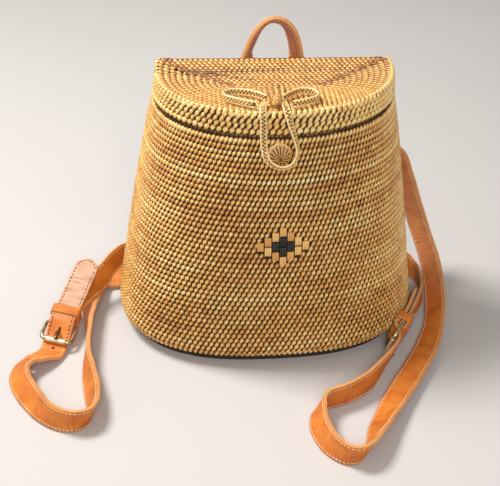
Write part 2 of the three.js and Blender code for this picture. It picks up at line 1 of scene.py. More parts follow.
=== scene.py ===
"""Woven straw backpack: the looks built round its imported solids.

Metres in Blender, +Z up, front towards -Y. Sizes in the classes are in millimetres, as in the part's source.
"""
import sys

import json
import logging
import math
from collections.abc import Callable
from dataclasses import dataclass, field
from enum import Enum

import bpy
import numpy as np
from mathutils import Matrix, Vector

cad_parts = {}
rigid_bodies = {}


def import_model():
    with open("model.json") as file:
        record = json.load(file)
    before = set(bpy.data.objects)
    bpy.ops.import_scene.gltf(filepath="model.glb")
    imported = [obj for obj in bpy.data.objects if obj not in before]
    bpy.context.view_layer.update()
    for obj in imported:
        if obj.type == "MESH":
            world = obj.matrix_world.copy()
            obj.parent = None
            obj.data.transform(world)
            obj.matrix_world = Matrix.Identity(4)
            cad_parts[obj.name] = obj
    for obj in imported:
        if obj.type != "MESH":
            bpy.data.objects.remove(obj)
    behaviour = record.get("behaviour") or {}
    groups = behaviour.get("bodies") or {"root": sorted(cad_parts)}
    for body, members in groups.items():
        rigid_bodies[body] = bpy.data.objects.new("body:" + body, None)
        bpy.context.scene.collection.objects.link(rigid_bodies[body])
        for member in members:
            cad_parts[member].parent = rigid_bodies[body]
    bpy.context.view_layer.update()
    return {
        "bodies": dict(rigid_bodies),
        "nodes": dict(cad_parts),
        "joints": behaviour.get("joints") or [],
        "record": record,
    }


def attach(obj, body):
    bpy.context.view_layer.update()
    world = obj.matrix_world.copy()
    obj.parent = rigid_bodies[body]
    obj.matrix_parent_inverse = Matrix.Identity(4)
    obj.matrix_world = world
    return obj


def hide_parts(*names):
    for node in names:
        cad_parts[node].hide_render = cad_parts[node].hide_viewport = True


MM = 0.001
LOG = logging.getLogger("backpack")


def rgb(red: float, green: float, blue: float) -> tuple[float, float, float, float]:
    """A screen colour from 0 to 255 as a linear colour with full alpha."""
    def linear(c: float) -> float:
        """One channel from screen to linear."""
        c /= 255.0
        return c / 12.92 if c <= 0.04045 else ((c + 0.055) / 1.055) ** 2.4
    return (linear(red), linear(green), linear(blue), 1.0)


class Body(Enum):
    """The two bodies that move against each other."""

    BASKET = "basket"
    FLAP = "flap"


class Side(Enum):
    """Left and right as seen from the front."""

    LEFT = "left"
    RIGHT = "right"


class Graph:
    """A node tree with short calls for adding, setting and linking nodes."""

    def __init__(self, tree: bpy.types.NodeTree) -> None:
        """Keeps the tree.

        Args:
            tree: a shader or geometry node tree.
        """
        self.tree = tree

    def add(self, kind: str, inputs: dict | None = None, **props: object) -> bpy.types.Node:
        """Adds one node.

        Args:
            kind: the node's Blender type.
            inputs: socket name or index to a value or to another node's output.
            props: properties of the node itself.

        Returns:
            The new node.
        """
        node = self.tree.nodes.new(kind)
        for name, value in props.items():
            setattr(node, name, value)
        self.feed(node, inputs or {})
        return node

    def feed(self, node: bpy.types.Node, inputs: dict) -> None:
        """Sets or links inputs of a node, given by socket name or index."""
        for key, value in inputs.items():
            if isinstance(value, bpy.types.NodeSocket):
                self.tree.links.new(value, node.inputs[key])
            else:
                node.inputs[key].default_value = value

    def link(self, out: bpy.types.NodeSocket, into: bpy.types.NodeSocket) -> None:
        """Links two sockets."""
        self.tree.links.new(out, into)

    def scaled(self, value: object, factor: object, start: object = 0.0) -> bpy.types.NodeSocket:
        """A value times a factor, added to a start where one is given."""
        product = self.calc("MULTIPLY", value, factor)
        return self.calc("ADD", start, product) if start else product

    def calc(self, op: str, *values: object) -> bpy.types.NodeSocket:
        """A Math node.

        Args:
            op: the operation.
            values: one to three numbers or sockets.

        Returns:
            Its output.
        """
        return self.add("ShaderNodeMath", dict(enumerate(values)), operation=op).outputs[0]

    def ramp(self, value: object, stops: list[tuple[float, tuple]]) -> bpy.types.NodeSocket:
        """A colour ramp.

        Args:
            value: the socket that drives it.
            stops: place and colour of each stop.

        Returns:
            Its colour.
        """
        node = self.add("ShaderNodeValToRGB", {0: value})
        elements = node.color_ramp.elements
        while len(elements) < len(stops):
            elements.new(0.5)
        for element, (place, colour) in zip(elements, stops):
            element.position, element.color = place, colour
        return node.outputs[0]

    def mix(self, share: object, first: object, second: object, how: str = "MIX") -> bpy.types.NodeSocket:
        """Mixes two colours.

        Args:
            share: how much of the second.
            first: colour or socket.
            second: colour or socket.
            how: the blend mode.

        Returns:
            The mixed colour.
        """
        node = self.add("ShaderNodeMix", {0: share, 6: first, 7: second}, data_type="RGBA", blend_type=how)
        return node.outputs[2]

    def noise(self, where: object, scale: float, detail: float = 3.0) -> bpy.types.NodeSocket:
        """Smooth noise from 0 to 1 at a place."""
        return self.add("ShaderNodeTexNoise", {"Vector": where, "Scale": scale, "Detail": detail}).outputs[0]


def sockets(tree: bpy.types.NodeTree, ins: dict[str, tuple[str, object]], outs: dict[str, str]) -> None:
    """Gives a group tree its named inputs and outputs.

    Args:
        tree: the group's tree.
        ins: input name to socket type and default.
        outs: output name to socket type.
    """
    for name, (kind, default) in ins.items():
        socket = tree.interface.new_socket(name, in_out="INPUT", socket_type=kind)
        if default is not None:
            socket.default_value = default
    for name, kind in outs.items():
        tree.interface.new_socket(name, in_out="OUTPUT", socket_type=kind)


def shader_group(name: str, ins: dict[str, tuple[str, object]], outs: dict[str, str]) -> tuple:
    """Starts a shader node group.

    Args:
        name: the group's name.
        ins: its inputs.
        outs: its outputs.

    Returns:
        The graph, the group's input node and its output node.
    """
    tree = bpy.data.node_groups.new(name, "ShaderNodeTree")
    sockets(tree, ins, outs)
    graph = Graph(tree)
    return graph, graph.add("NodeGroupInput"), graph.add("NodeGroupOutput")


FLOAT, VECTOR, COLOUR = "NodeSocketFloat", "NodeSocketVector", "NodeSocketColor"


def fibre_grain_group() -> bpy.types.NodeTree:
    """Plant fibre: fine streaks and specks, with a slow change of tone from patch to patch.

    Returns:
        The group's tree.
    """
    g, i, o = shader_group("fibre_grain", {"Speck": (FLOAT, 900.0), "Patch": (FLOAT, 22.0)},
                           {"Speck": FLOAT, "Patch": FLOAT})
    place = g.add("ShaderNodeTexCoord").outputs["Object"]
    speck = g.add("ShaderNodeTexNoise", {"Vector": place, "Scale": i.outputs["Speck"], "Detail": 2.0})
    patch = g.add("ShaderNodeTexNoise", {"Vector": place, "Scale": i.outputs["Patch"], "Detail": 3.0})
    g.link(speck.outputs[0], o.inputs["Speck"])
    g.link(patch.outputs[0], o.inputs["Patch"])
    return g.tree


def weave_cells_group() -> bpy.types.NodeTree:
    """Flat weave for surfaces whose stitches are not modelled: staggered, leaning cells.

    Returns:
        The group's tree.
    """
    g, i, o = shader_group("weave_cells", {"Lean": (FLOAT, 0.45)}, {"Height": FLOAT, "Tone": FLOAT})
    uv = g.add("ShaderNodeSeparateXYZ", {0: g.add("ShaderNodeUVMap", uv_map="weave").outputs[0]})
    row = g.calc("FLOOR", uv.outputs[1])
    up = g.calc("SUBTRACT", g.calc("FRACT", uv.outputs[1]), 0.5)
    shift = g.calc("MULTIPLY", g.calc("MODULO", row, 2.0), 0.5)
    leaning = g.scaled(up, i.outputs["Lean"])
    across = g.calc("SUBTRACT", g.calc("ADD", uv.outputs[0], shift), leaning)
    side = g.calc("SUBTRACT", g.calc("FRACT", across), 0.5)
    round_off = g.calc("ADD", g.calc("POWER", g.calc("ABSOLUTE", g.calc("MULTIPLY", side, 2.0)), 2.0),
                       g.calc("POWER", g.calc("ABSOLUTE", g.calc("MULTIPLY", up, 1.9)), 3.0))
    height = g.calc("MAXIMUM", g.calc("SUBTRACT", 1.0, round_off), 0.0)
    cell = g.add("ShaderNodeCombineXYZ", {0: g.calc("FLOOR", across), 1: row})
    tone = g.add("ShaderNodeTexWhiteNoise", {"Vector": cell.outputs[0]}, noise_dimensions="2D")
    g.link(height, o.inputs["Height"])
    g.link(tone.outputs[0], o.inputs["Tone"])
    return g.tree


def hide_grain_group() -> bpy.types.NodeTree:
    """Leather: pores, soft mottling and cross wrinkles along the strap's own length.

    Returns:
        The group's tree.
    """
    g, i, o = shader_group("hide_grain", {"Pore": (FLOAT, 700.0), "Wrinkle": (FLOAT, 0.5)},
                           {"Mottle": FLOAT, "Height": FLOAT, "Crease": FLOAT})
    place = g.add("ShaderNodeTexCoord").outputs["Object"]
    pores = g.add("ShaderNodeTexNoise", {"Vector": place, "Scale": i.outputs["Pore"], "Detail": 4.0})
    mottle = g.noise(place, 60.0, 4.0)
    uv = g.add("ShaderNodeUVMap", uv_map="run").outputs[0]
    stretched = g.add("ShaderNodeMapping", {"Vector": uv, "Scale": (420.0, 34.0, 1.0)}).outputs[0]
    wave = g.noise(stretched, 1.0, 2.0)
    crease = g.calc("MULTIPLY", g.calc("MAXIMUM", g.calc("SUBTRACT", wave, 0.52), 0.0), 4.0)
    crease = g.calc("MULTIPLY", crease, i.outputs["Wrinkle"])
    height = g.calc("SUBTRACT", g.calc("MULTIPLY", pores.outputs[0], 0.35), crease)
    g.link(mottle, o.inputs["Mottle"])
    g.link(height, o.inputs["Height"])
    g.link(crease, o.inputs["Crease"])
    return g.tree


def edge_wear_group() -> bpy.types.NodeTree:
    """Pale rims: the rim attribute broken up by noise.

    Returns:
        The group's tree.
    """
    g, i, o = shader_group("edge_wear", {"Amount": (FLOAT, 1.0)}, {"Mask": FLOAT})
    place = g.add("ShaderNodeTexCoord").outputs["Object"]
    rim = g.add("ShaderNodeAttribute", attribute_name="rim", attribute_type="GEOMETRY").outputs["Fac"]
    broken = g.calc("ADD", g.calc("MULTIPLY", g.noise(place, 320.0, 3.0), 0.6), 0.55)
    mask = g.calc("MULTIPLY", g.calc("MULTIPLY", rim, broken), i.outputs["Amount"])
    g.link(g.add("ShaderNodeClamp", {0: mask}).outputs[0], o.inputs["Mask"])
    return g.tree


class Groups:
    """The shader groups that several finishes share, each built once."""

    def __init__(self) -> None:
        """Builds them."""
        self.fibre = fibre_grain_group()
        self.cells = weave_cells_group()
        self.hide = hide_grain_group()
        self.wear = edge_wear_group()


def begin_material(name: str) -> tuple[Graph, bpy.types.Node, bpy.types.Material]:
    """Starts a material with one Principled shader.

    Args:
        name: the material's name.

    Returns:
        Its graph, the shader node and the material.
    """
    material = bpy.data.materials.new(name)
    material.use_nodes = True
    graph = Graph(material.node_tree)
    return graph, material.node_tree.nodes["Principled BSDF"], material


def attribute(g: Graph, name: str) -> bpy.types.NodeSocket:
    """The value of a mesh attribute in a material."""
    return g.add("ShaderNodeAttribute", attribute_name=name, attribute_type="GEOMETRY").outputs["Fac"]


@dataclass(frozen=True)
class Relief:
    """Height of a surface and how strongly it shows."""

    height: bpy.types.NodeSocket
    strength: float
    distance: float


class Finish:
    """A material; each kind paints its own colour, roughness and relief."""

    name: str

    def paint(self, g: Graph, groups: Groups) -> tuple[dict, Relief]:
        """Adds the nodes of this kind.

        Args:
            g: the material's graph.
            groups: the shared shader groups.

        Returns:
            The shader's inputs by name, and the relief.
        """
        raise NotImplementedError

    def make(self, groups: Groups) -> bpy.types.Material:
        """Builds the material.

        Args:
            groups: the shared shader groups.

        Returns:
            The material.
        """
        g, shader, material = begin_material(self.name)
        inputs, relief = self.paint(g, groups)
        g.feed(shader, inputs)
        bump = g.add("ShaderNodeBump", {"Strength": relief.strength, "Distance": relief.distance,
                                        "Height": relief.height})
        g.link(bump.outputs[0], shader.inputs["Normal"])
        return material


@dataclass(frozen=True)
class StrawFinish(Finish):
    """Straw stitches: each has its own tone from dark red-brown to cream, darkened by painted shade towards
    its root.
    """

    name: str
    dark: tuple = rgb(112, 60, 20)
    brown: tuple = rgb(172, 106, 42)
    gold: tuple = rgb(214, 156, 74)
    pale: tuple = rgb(236, 194, 114)
    cream: tuple = rgb(246, 224, 166)
    # root: painted shade, the near-black brown mixed in at each stitch's root and underside
    root: tuple = rgb(58, 27, 9)
    rough: float = 0.26
    patchy: float = 0.2
    speckled: float = 0.3
    coat: float = 0.7
    coat_rough: float = 0.2

    def paint(self, g: Graph, groups: Groups) -> tuple[dict, Relief]:
        """Colours each strand by its tone, and mixes in painted shade where its root attribute says so."""
        grain = g.add("ShaderNodeGroup", node_tree=groups.fibre)
        patch = g.calc("MULTIPLY", g.calc("SUBTRACT", grain.outputs["Patch"], 0.5), self.patchy)
        speck = g.calc("MULTIPLY", g.calc("SUBTRACT", grain.outputs["Speck"], 0.5), self.speckled)
        tone = g.calc("ADD", g.calc("ADD", attribute(g, "tone"), patch), speck)
        colour = g.ramp(tone, [(0.0, self.dark), (0.28, self.brown), (0.52, self.gold),
                               (0.76, self.pale), (1.0, self.cream)])
        # the root attribute mixes in painted shade
        return ({"Base Color": g.mix(attribute(g, "root"), colour, self.root),
                 "Roughness": g.scaled(grain.outputs["Speck"], 0.16, self.rough),
                 "Coat Weight": self.coat, "Coat Roughness": self.coat_rough},
                Relief(grain.outputs["Speck"], 0.25, 0.0003))


@dataclass(frozen=True)
class CoreFinish(Finish):
    """The coiled core between the stitches: near-black brown as painted shade in the holes between them, and
    plainly woven where the inside attribute is 1.
    """

    name: str = "straw_core"
    # hole and hole_light: painted shade in the holes between the stitches
    hole: tuple = rgb(38, 20, 8)
    hole_light: tuple = rgb(60, 33, 13)
    # gap: painted shade between the woven cells
    gap: tuple = rgb(60, 34, 14)
    inner_dark: tuple = rgb(104, 66, 30)
    inner_light: tuple = rgb(192, 146, 82)
    rough: float = 0.8

    def paint(self, g: Graph, groups: Groups) -> tuple[dict, Relief]:
        """Mixes the core's painted shade and the flat weave, whose cells are painted darker towards their
        gaps as shade.
        """
        cells = g.add("ShaderNodeGroup", node_tree=groups.cells)
        grain = g.add("ShaderNodeGroup", node_tree=groups.fibre)
        # the cells' height lightens their middles and darkens their gaps as painted shade; their tone varies
        # at random
        light = g.scaled(cells.outputs["Tone"], 0.4, g.scaled(cells.outputs["Height"], 0.6))
        woven = g.ramp(light, [(0.0, self.gap), (0.35, self.inner_dark), (1.0, self.inner_light)])
        dark = g.ramp(grain.outputs["Patch"], [(0.3, self.hole), (0.7, self.hole_light)])
        # the inside attribute chooses between the woven cells and the painted shade of the holes
        inside = attribute(g, "inside")
        return ({"Base Color": g.mix(inside, dark, woven), "Roughness": self.rough},
                Relief(g.scaled(cells.outputs["Height"], inside), 0.8, 0.0012))


@dataclass(frozen=True)
class LeatherFinish(Finish):
    """Orange tan leather with mottled faces, cross wrinkles and a light cut edge."""

    name: str
    deep: tuple = rgb(162, 74, 18)
    base: tuple = rgb(204, 112, 28)
    pale: tuple = rgb(222, 138, 50)
    edge: tuple = rgb(214, 154, 94)
    # pale pink: partly the leather's own paler colour, partly painted light
    pale_and_lit_colour: tuple = rgb(198, 162, 134)
    wrinkle: float = 0.5
    rough: float = 0.46
    # deepest_crease: the most that painted shade darkens a crease
    deepest_crease: float = 0.5

    def paint(self, g: Graph, groups: Groups) -> tuple[dict, Relief]:
        """Mottles the leather, pales it by its paleness attribute, partly its own paler colour and partly
        painted light, and darkens its creases with painted shade.
        """
        hide = g.add("ShaderNodeGroup", {"Wrinkle": self.wrinkle}, node_tree=groups.hide)
        wear = g.add("ShaderNodeGroup", node_tree=groups.wear)
        colour = g.ramp(hide.outputs["Mottle"], [(0.18, self.deep), (0.48, self.base), (0.78, self.pale)])
        # paleness: partly the leather's own paler colour, partly painted light
        bleach = attribute(g, "bleach")
        colour = g.mix(g.scaled(bleach, 0.88), colour, self.pale_and_lit_colour)
        # the creases deepen on the paler parts; below, they are painted darker as shade
        crease = g.scaled(hide.outputs["Crease"], g.scaled(bleach, 1.4, 1.0))
        colour = g.mix(g.calc("MINIMUM", crease, self.deepest_crease), colour, self.deep)
        height = g.calc("SUBTRACT", hide.outputs["Height"], g.scaled(crease, 0.6))
        return ({"Base Color": g.mix(wear.outputs["Mask"], colour, self.edge),
                 "Roughness": g.scaled(hide.outputs["Mottle"], 0.15, self.rough)},
                Relief(height, 0.55, 0.0006))


@dataclass(frozen=True)
class MetalFinish(Finish):
    """Pale antique brass, duller and darker in patches."""

    name: str = "antique_brass"
    bright: tuple = rgb(206, 188, 148)
    dull: tuple = rgb(130, 108, 72)
    rough: float = 0.2

    def paint(self, g: Graph, groups: Groups) -> tuple[dict, Relief]:
        """Colours the metal from dull to bright."""
        grain = g.add("ShaderNodeGroup", {"Speck": 1500.0, "Patch": 260.0}, node_tree=groups.fibre)
        return ({"Base Color": g.ramp(grain.outputs["Patch"], [(0.32, self.dull), (0.58, self.bright)]),
                 "Metallic": 1.0, "Roughness": g.scaled(grain.outputs["Speck"], 0.25, self.rough)},
                Relief(grain.outputs["Patch"], 0.15, 0.0002))


@dataclass(frozen=True)
class PlainFinish(Finish):
    """A quiet surface with a little grain: thread, board, black dyed straw."""

    name: str
    dark: tuple
    light: tuple
    rough: float = 0.75
    speck: float = 700.0

    def paint(self, g: Graph, groups: Groups) -> tuple[dict, Relief]:
        """Colours the surface from dark to light by its grain."""
        grain = g.add("ShaderNodeGroup", {"Speck": self.speck, "Patch": 90.0}, node_tree=groups.fibre)
        share = g.scaled(g.calc("ADD", grain.outputs["Speck"], grain.outputs["Patch"]), 0.5)
        return ({"Base Color": g.ramp(share, [(0.35, self.dark), (0.65, self.light)]),
                 "Roughness": g.scaled(share, 0.16, self.rough - 0.08)},
                Relief(grain.outputs["Speck"], 0.3, 0.0003))


class Palette:
    """Every finish of the backpack, made once."""

    def __init__(self) -> None:
        """Builds the shared groups and then the materials."""
        groups = Groups()
        self.straw = StrawFinish("straw_stitch").make(groups)
        self.pale_straw = StrawFinish("pale_plait", dark=rgb(134, 82, 32), brown=rgb(184, 130, 62),
                                      gold=rgb(218, 170, 94), pale=rgb(234, 198, 126),
                                      cream=rgb(246, 226, 170), rough=0.36).make(groups)
        self.core = CoreFinish().make(groups)
        self.black = PlainFinish("black_straw", rgb(16, 18, 17), rgb(48, 50, 46), 0.5).make(groups)
        self.leather = LeatherFinish("strap_leather").make(groups)
        self.handle = LeatherFinish("handle_leather", deep=rgb(128, 52, 14), base=rgb(188, 92, 30),
                                    pale=rgb(214, 132, 70), edge=rgb(224, 166, 104), wrinkle=0.3).make(groups)
        self.metal = MetalFinish().make(groups)
        self.bronze = MetalFinish("dark_bronze", rgb(138, 108, 74), rgb(74, 52, 32)).make(groups)
        self.roller = MetalFinish("worn_roller", rgb(236, 228, 206), rgb(200, 188, 160), 0.38).make(groups)
        self.cream_thread = PlainFinish("cream_thread", rgb(206, 176, 134), rgb(238, 218, 184)).make(groups)
        self.brown_thread = PlainFinish("brown_thread", rgb(58, 30, 16), rgb(92, 52, 28)).make(groups)
        # base_board: near-black brown, painted shade for the shadowed gap under the basket's lower edge
        self.board = PlainFinish("base_board", rgb(34, 27, 21), rgb(58, 46, 36), 0.85, 400.0).make(groups)


@dataclass
class MeshData:
    """Points in millimetres, faces, a UV per corner and point attributes."""

    verts: np.ndarray
    faces: list
    uv_name: str = ""
    uvs: list = field(default_factory=list)
    attrs: dict = field(default_factory=dict)
    smooth: bool = True
    crease: float = 0.0

    def build(self, name: str, material: bpy.types.Material) -> bpy.types.Object:
        """Makes the object at the origin, in metres.

        Args:
            name: the piece's name.
            material: its finish.

        Returns:
            The new object.
        """
        mesh = bpy.data.meshes.new(name)
        mesh.from_pydata([tuple(v) for v in np.asarray(self.verts) * MM], [], self.faces)
        if self.uv_name:
            layer = mesh.uv_layers.new(name=self.uv_name)
            flat = np.asarray([c for face in self.uvs for c in face], np.float32)
            layer.data.foreach_set("uv", flat.ravel())
        for key, values in self.attrs.items():
            store(mesh, key, values)
        mesh.materials.append(material)
        mesh.update()
        if self.smooth:
            mesh.shade_smooth()
            if self.crease:
                mesh.set_sharp_from_angle(angle=math.radians(self.crease))
        piece = bpy.data.objects.new(name, mesh)
        bpy.context.scene.collection.objects.link(piece)
        return piece


def store(mesh: bpy.types.Mesh, key: str, values: object, kind: str = "FLOAT") -> None:
    """Keeps a number or a vector for each point of a mesh."""
    data = mesh.attributes.new(key, kind, "POINT").data
    data.foreach_set("value" if kind == "FLOAT" else "vector", np.asarray(values, np.float32).ravel())


def fold_modifiers(piece: bpy.types.Object) -> bpy.types.Object:
    """Turns the evaluated result into the piece's own plain mesh and removes its modifiers.

    Args:
        piece: the object with modifiers.

    Returns:
        The same object.
    """
    bpy.context.view_layer.update()
    evaluated = piece.evaluated_get(bpy.context.evaluated_depsgraph_get())
    mesh = bpy.data.meshes.new_from_object(evaluated)
    piece.modifiers.clear()
    old, piece.data = piece.data, mesh
    mesh.name = piece.name
    bpy.data.meshes.remove(old)
    return piece


def settle(piece: bpy.types.Object, body: Body, slot: str, *nodes: str) -> bpy.types.Object:
    """Hands a finished piece to the frame.

    Args:
        piece: the finished mesh object.
        body: the body it moves with.
        slot: the record's material slot; not used.
        nodes: the plain solids it stands for.

    Returns:
        The same object.
    """
    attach(piece, body.value)
    if nodes:
        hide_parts(*nodes)
    LOG.info("%s: %d faces on %s", piece.name, len(piece.data.polygons), body.value)
    return piece


def unit(v: np.ndarray) -> np.ndarray:
    """Vectors scaled to length one along the last axis."""
    v = np.asarray(v, float)
    return v / np.maximum(np.linalg.norm(v, axis=-1, keepdims=True), 1e-9)


def run_along(line: np.ndarray) -> np.ndarray:
    """Distance of each point of a line from its first point."""
    return np.concatenate([[0], np.cumsum(np.linalg.norm(np.diff(line, axis=0), axis=1))])


def points_at(line: np.ndarray, run: np.ndarray, at: np.ndarray) -> np.ndarray:
    """Points of a line, or other rows of three numbers, at distances along it."""
    return np.stack([np.interp(at, run, line[:, k]) for k in range(3)], 1)


def point_at(line: np.ndarray, run: np.ndarray, at: float, z: float) -> np.ndarray:
    """One point of a line seen from above, set at a height."""
    return np.array([np.interp(at, run, line[:, 0]), np.interp(at, run, line[:, 1]), z])


def evenly(loop: np.ndarray, count: int, shift: float = 0.0) -> np.ndarray:
    """Points spaced evenly along a closed outline.

    Args:
        loop: the fine outline.
        count: how many points.
        shift: start, as a share of one step.

    Returns:
        The points.
    """
    closed = np.vstack([loop, loop[:1]])
    run = run_along(closed)
    return points_at(closed, run, (np.arange(count) + shift) / count * run[-1])


def arcs(corners: tuple, steps: int) -> list[tuple[float, float, float]]:
    """Quarter circles one after another, the round corners of a shape.

    Args:
        corners: for each its centre, the angle in degrees at which it starts, and its radius.
        steps: steps in each quarter.

    Returns:
        Both coordinates and the angle in radians of each point.
    """
    found = []
    for x, y, start, radius in corners:
        for i in range(steps + 1):
            angle = math.radians(start + 90 * i / steps)
            found.append((x + radius * math.cos(angle), y + radius * math.sin(angle), angle))
    return found


def repeat_tree() -> bpy.types.NodeTree:
    """Geometry Nodes: one stitch, rivet or strand set on every point of a mesh.

    The points carry the vectors facing, along and span; the seed and the spreads vary turn and size.

    Returns:
        The tree.
    """
    tree = bpy.data.node_groups.new("repeat_on_points", "GeometryNodeTree")
    sockets(tree, {"Geometry": ("NodeSocketGeometry", None), "Shape": ("NodeSocketObject", None),
                   "Finish": ("NodeSocketMaterial", None), "Size Spread": (FLOAT, 0.0),
                   "Turn Spread": (FLOAT, 0.0), "Seed": ("NodeSocketInt", 0)},
            {"Geometry": "NodeSocketGeometry"})
    g = Graph(tree)
    i, o = g.add("NodeGroupInput"), g.add("NodeGroupOutput")

    def named(name: str) -> bpy.types.NodeSocket:
        """A vector attribute of the points."""
        return g.add("GeometryNodeInputNamedAttribute", {"Name": name}, data_type="FLOAT_VECTOR").outputs[0]

    turn = g.add("FunctionNodeAxesToRotation", {0: named("facing"), 1: named("along")},
                 primary_axis="Z", secondary_axis="X").outputs[0]
    spread = g.add("FunctionNodeRandomValue", {2: -1.0, 3: 1.0, "Seed": i.outputs["Seed"]}, data_type="FLOAT")
    angle = g.calc("MULTIPLY", spread.outputs[1], i.outputs["Turn Spread"])
    wobble = g.add("FunctionNodeAxisAngleToRotation", {0: (0.0, 0.0, 1.0), 1: angle}).outputs[0]
    turned = g.add("FunctionNodeRotateRotation", {0: turn, 1: wobble}, rotation_space="LOCAL").outputs[0]
    more = g.add("FunctionNodeRandomValue", {2: -1.0, 3: 1.0, "Seed": g.calc("ADD", i.outputs["Seed"], 7)},
                 data_type="FLOAT")
    factor = g.calc("ADD", g.calc("MULTIPLY", more.outputs[1], i.outputs["Size Spread"]), 1.0)
    size = g.add("ShaderNodeVectorMath", {0: named("span"), "Scale": factor}, operation="SCALE").outputs[0]
    shape = g.add("GeometryNodeObjectInfo", {"Object": i.outputs["Shape"]}, transform_space="ORIGINAL")
    points = g.add("GeometryNodeMeshToPoints", {"Mesh": i.outputs["Geometry"]}, mode="VERTICES")
    placed = g.add("GeometryNodeInstanceOnPoints",
                   {"Points": points.outputs[0], "Instance": shape.outputs["Geometry"],
                    "Rotation": turned, "Scale": size})
    real = g.add("GeometryNodeRealizeInstances", {0: placed.outputs[0]})
    done = g.add("GeometryNodeSetMaterial", {"Geometry": real.outputs[0], "Material": i.outputs["Finish"]})
    g.link(done.outputs[0], o.inputs[0])
    return tree


@dataclass
class Spots:
    """Places for a repeated shape, gathered before they are made into one mesh."""

    place: list = field(default_factory=list)
    facing: list = field(default_factory=list)
    along: list = field(default_factory=list)
    span: list = field(default_factory=list)
    tone: list = field(default_factory=list)

    def put(self, place: np.ndarray, facing: np.ndarray, along: np.ndarray,
            span: tuple = (1.0, 1.0, 1.0), tone: float = 0.5) -> None:
        """Adds one spot.

        Args:
            place: where, in millimetres.
            facing: the way out of the surface.
            along: the shape's long direction.
            span: length, width and height as shares of the shape's own.
            tone: the spot's tone from 0 to 1.
        """
        self.place.append(place)
        self.facing.append(facing)
        self.along.append(along)
        self.span.append(span)
        self.tone.append(tone)


class Repeater:
    """Sets a small shape on spots through one shared Geometry Nodes tree."""

    def __init__(self) -> None:
        """Builds the tree."""
        self.tree = repeat_tree()

    def make(self, name: str, spots: Spots, shape: MeshData, finish: bpy.types.Material,
             seed: int = 1, size_spread: float = 0.0, turn_spread: float = 0.0) -> bpy.types.Object:
        """Makes one plain mesh with the shape on every spot.

        Args:
            name: the piece's name.
            spots: the places.
            shape: the repeated shape, at the origin, in millimetres.
            finish: its material.
            seed: seed of the small variations.
            size_spread: share by which a size may differ.
            turn_spread: angle by which a turn may differ, in radians.

        Returns:
            The finished piece, not yet riding on a body.
        """
        template = shape.build(name + "_shape", finish)
        mesh = bpy.data.meshes.new(name)
        mesh.from_pydata([tuple(np.asarray(p) * MM) for p in spots.place], [], [])
        for key in ("facing", "along", "span"):
            store(mesh, key, getattr(spots, key), "FLOAT_VECTOR")
        store(mesh, "tone", spots.tone)
        piece = bpy.data.objects.new(name, mesh)
        bpy.context.scene.collection.objects.link(piece)
        modifier = piece.modifiers.new("repeat", "NODES")
        modifier.node_group = self.tree
        values = {"Shape": template, "Finish": finish, "Size Spread": size_spread,
                  "Turn Spread": turn_spread, "Seed": seed}
        for item in self.tree.interface.items_tree:
            if item.in_out == "INPUT" and item.name in values:
                modifier[item.identifier] = values[item.name]
        fold_modifiers(piece)
        piece.data.shade_smooth()
        for key in ("facing", "along", "span"):
            if key in piece.data.attributes:
                piece.data.attributes.remove(piece.data.attributes[key])
        old = template.data
        bpy.data.objects.remove(template)
        bpy.data.meshes.remove(old)
        return piece


def strand(stations: list[tuple[float, float, float]], flat: float = 0.8, shade: float = 0.55,
           fade: float = 1.0) -> MeshData:
    """A small closed strand along X, lying on the XY plane.

    Args:
        stations: place along X, half width and height of the middle, in millimetres.
        flat: thickness as a share of the width.
        shade: how dark the painted shade at the thin end is.
        fade: distance over which that painted shade fades out, in millimetres.

    Returns:
        The shape, with a root attribute of painted shade that is highest at the thin end and on the
        underside.
    """
    verts, root, sides, n = [], [], 6, len(stations)
    for x, r, z in stations:
        run = (x - stations[0][0]) / fade
        for k in range(sides):
            a = 2 * math.pi * k / sides
            verts.append((x, r * math.cos(a), z + flat * r * math.sin(a)))
            # painted shade: the underside and the thin end darkest, fading along the strand
            root.append(shade * max(0.0, 1 - 0.91 * run if k > sides / 2 else 0.73 - 0.82 * run))
    first, last = stations[0], stations[-1]
    verts += [(first[0] - first[1] * 0.5, 0, first[2] - 0.2), (last[0] + last[1] * 0.5, 0, last[2] - 0.3)]
    # painted shade on the two end caps
    root += [0.6, 0.25]
    faces = []
    for j in range(n - 1):
        for k in range(sides):
            a, b = j * sides + k, j * sides + (k + 1) % sides
            faces.append((a, a + sides, b + sides, b))
    for k in range(sides):
        faces.append((n * sides, k, (k + 1) % sides))
        faces.append((n * sides + 1, (n - 1) * sides + (k + 1) % sides, (n - 1) * sides + k))
    return MeshData(np.array(verts), [f[::-1] for f in faces], attrs={"root": root})


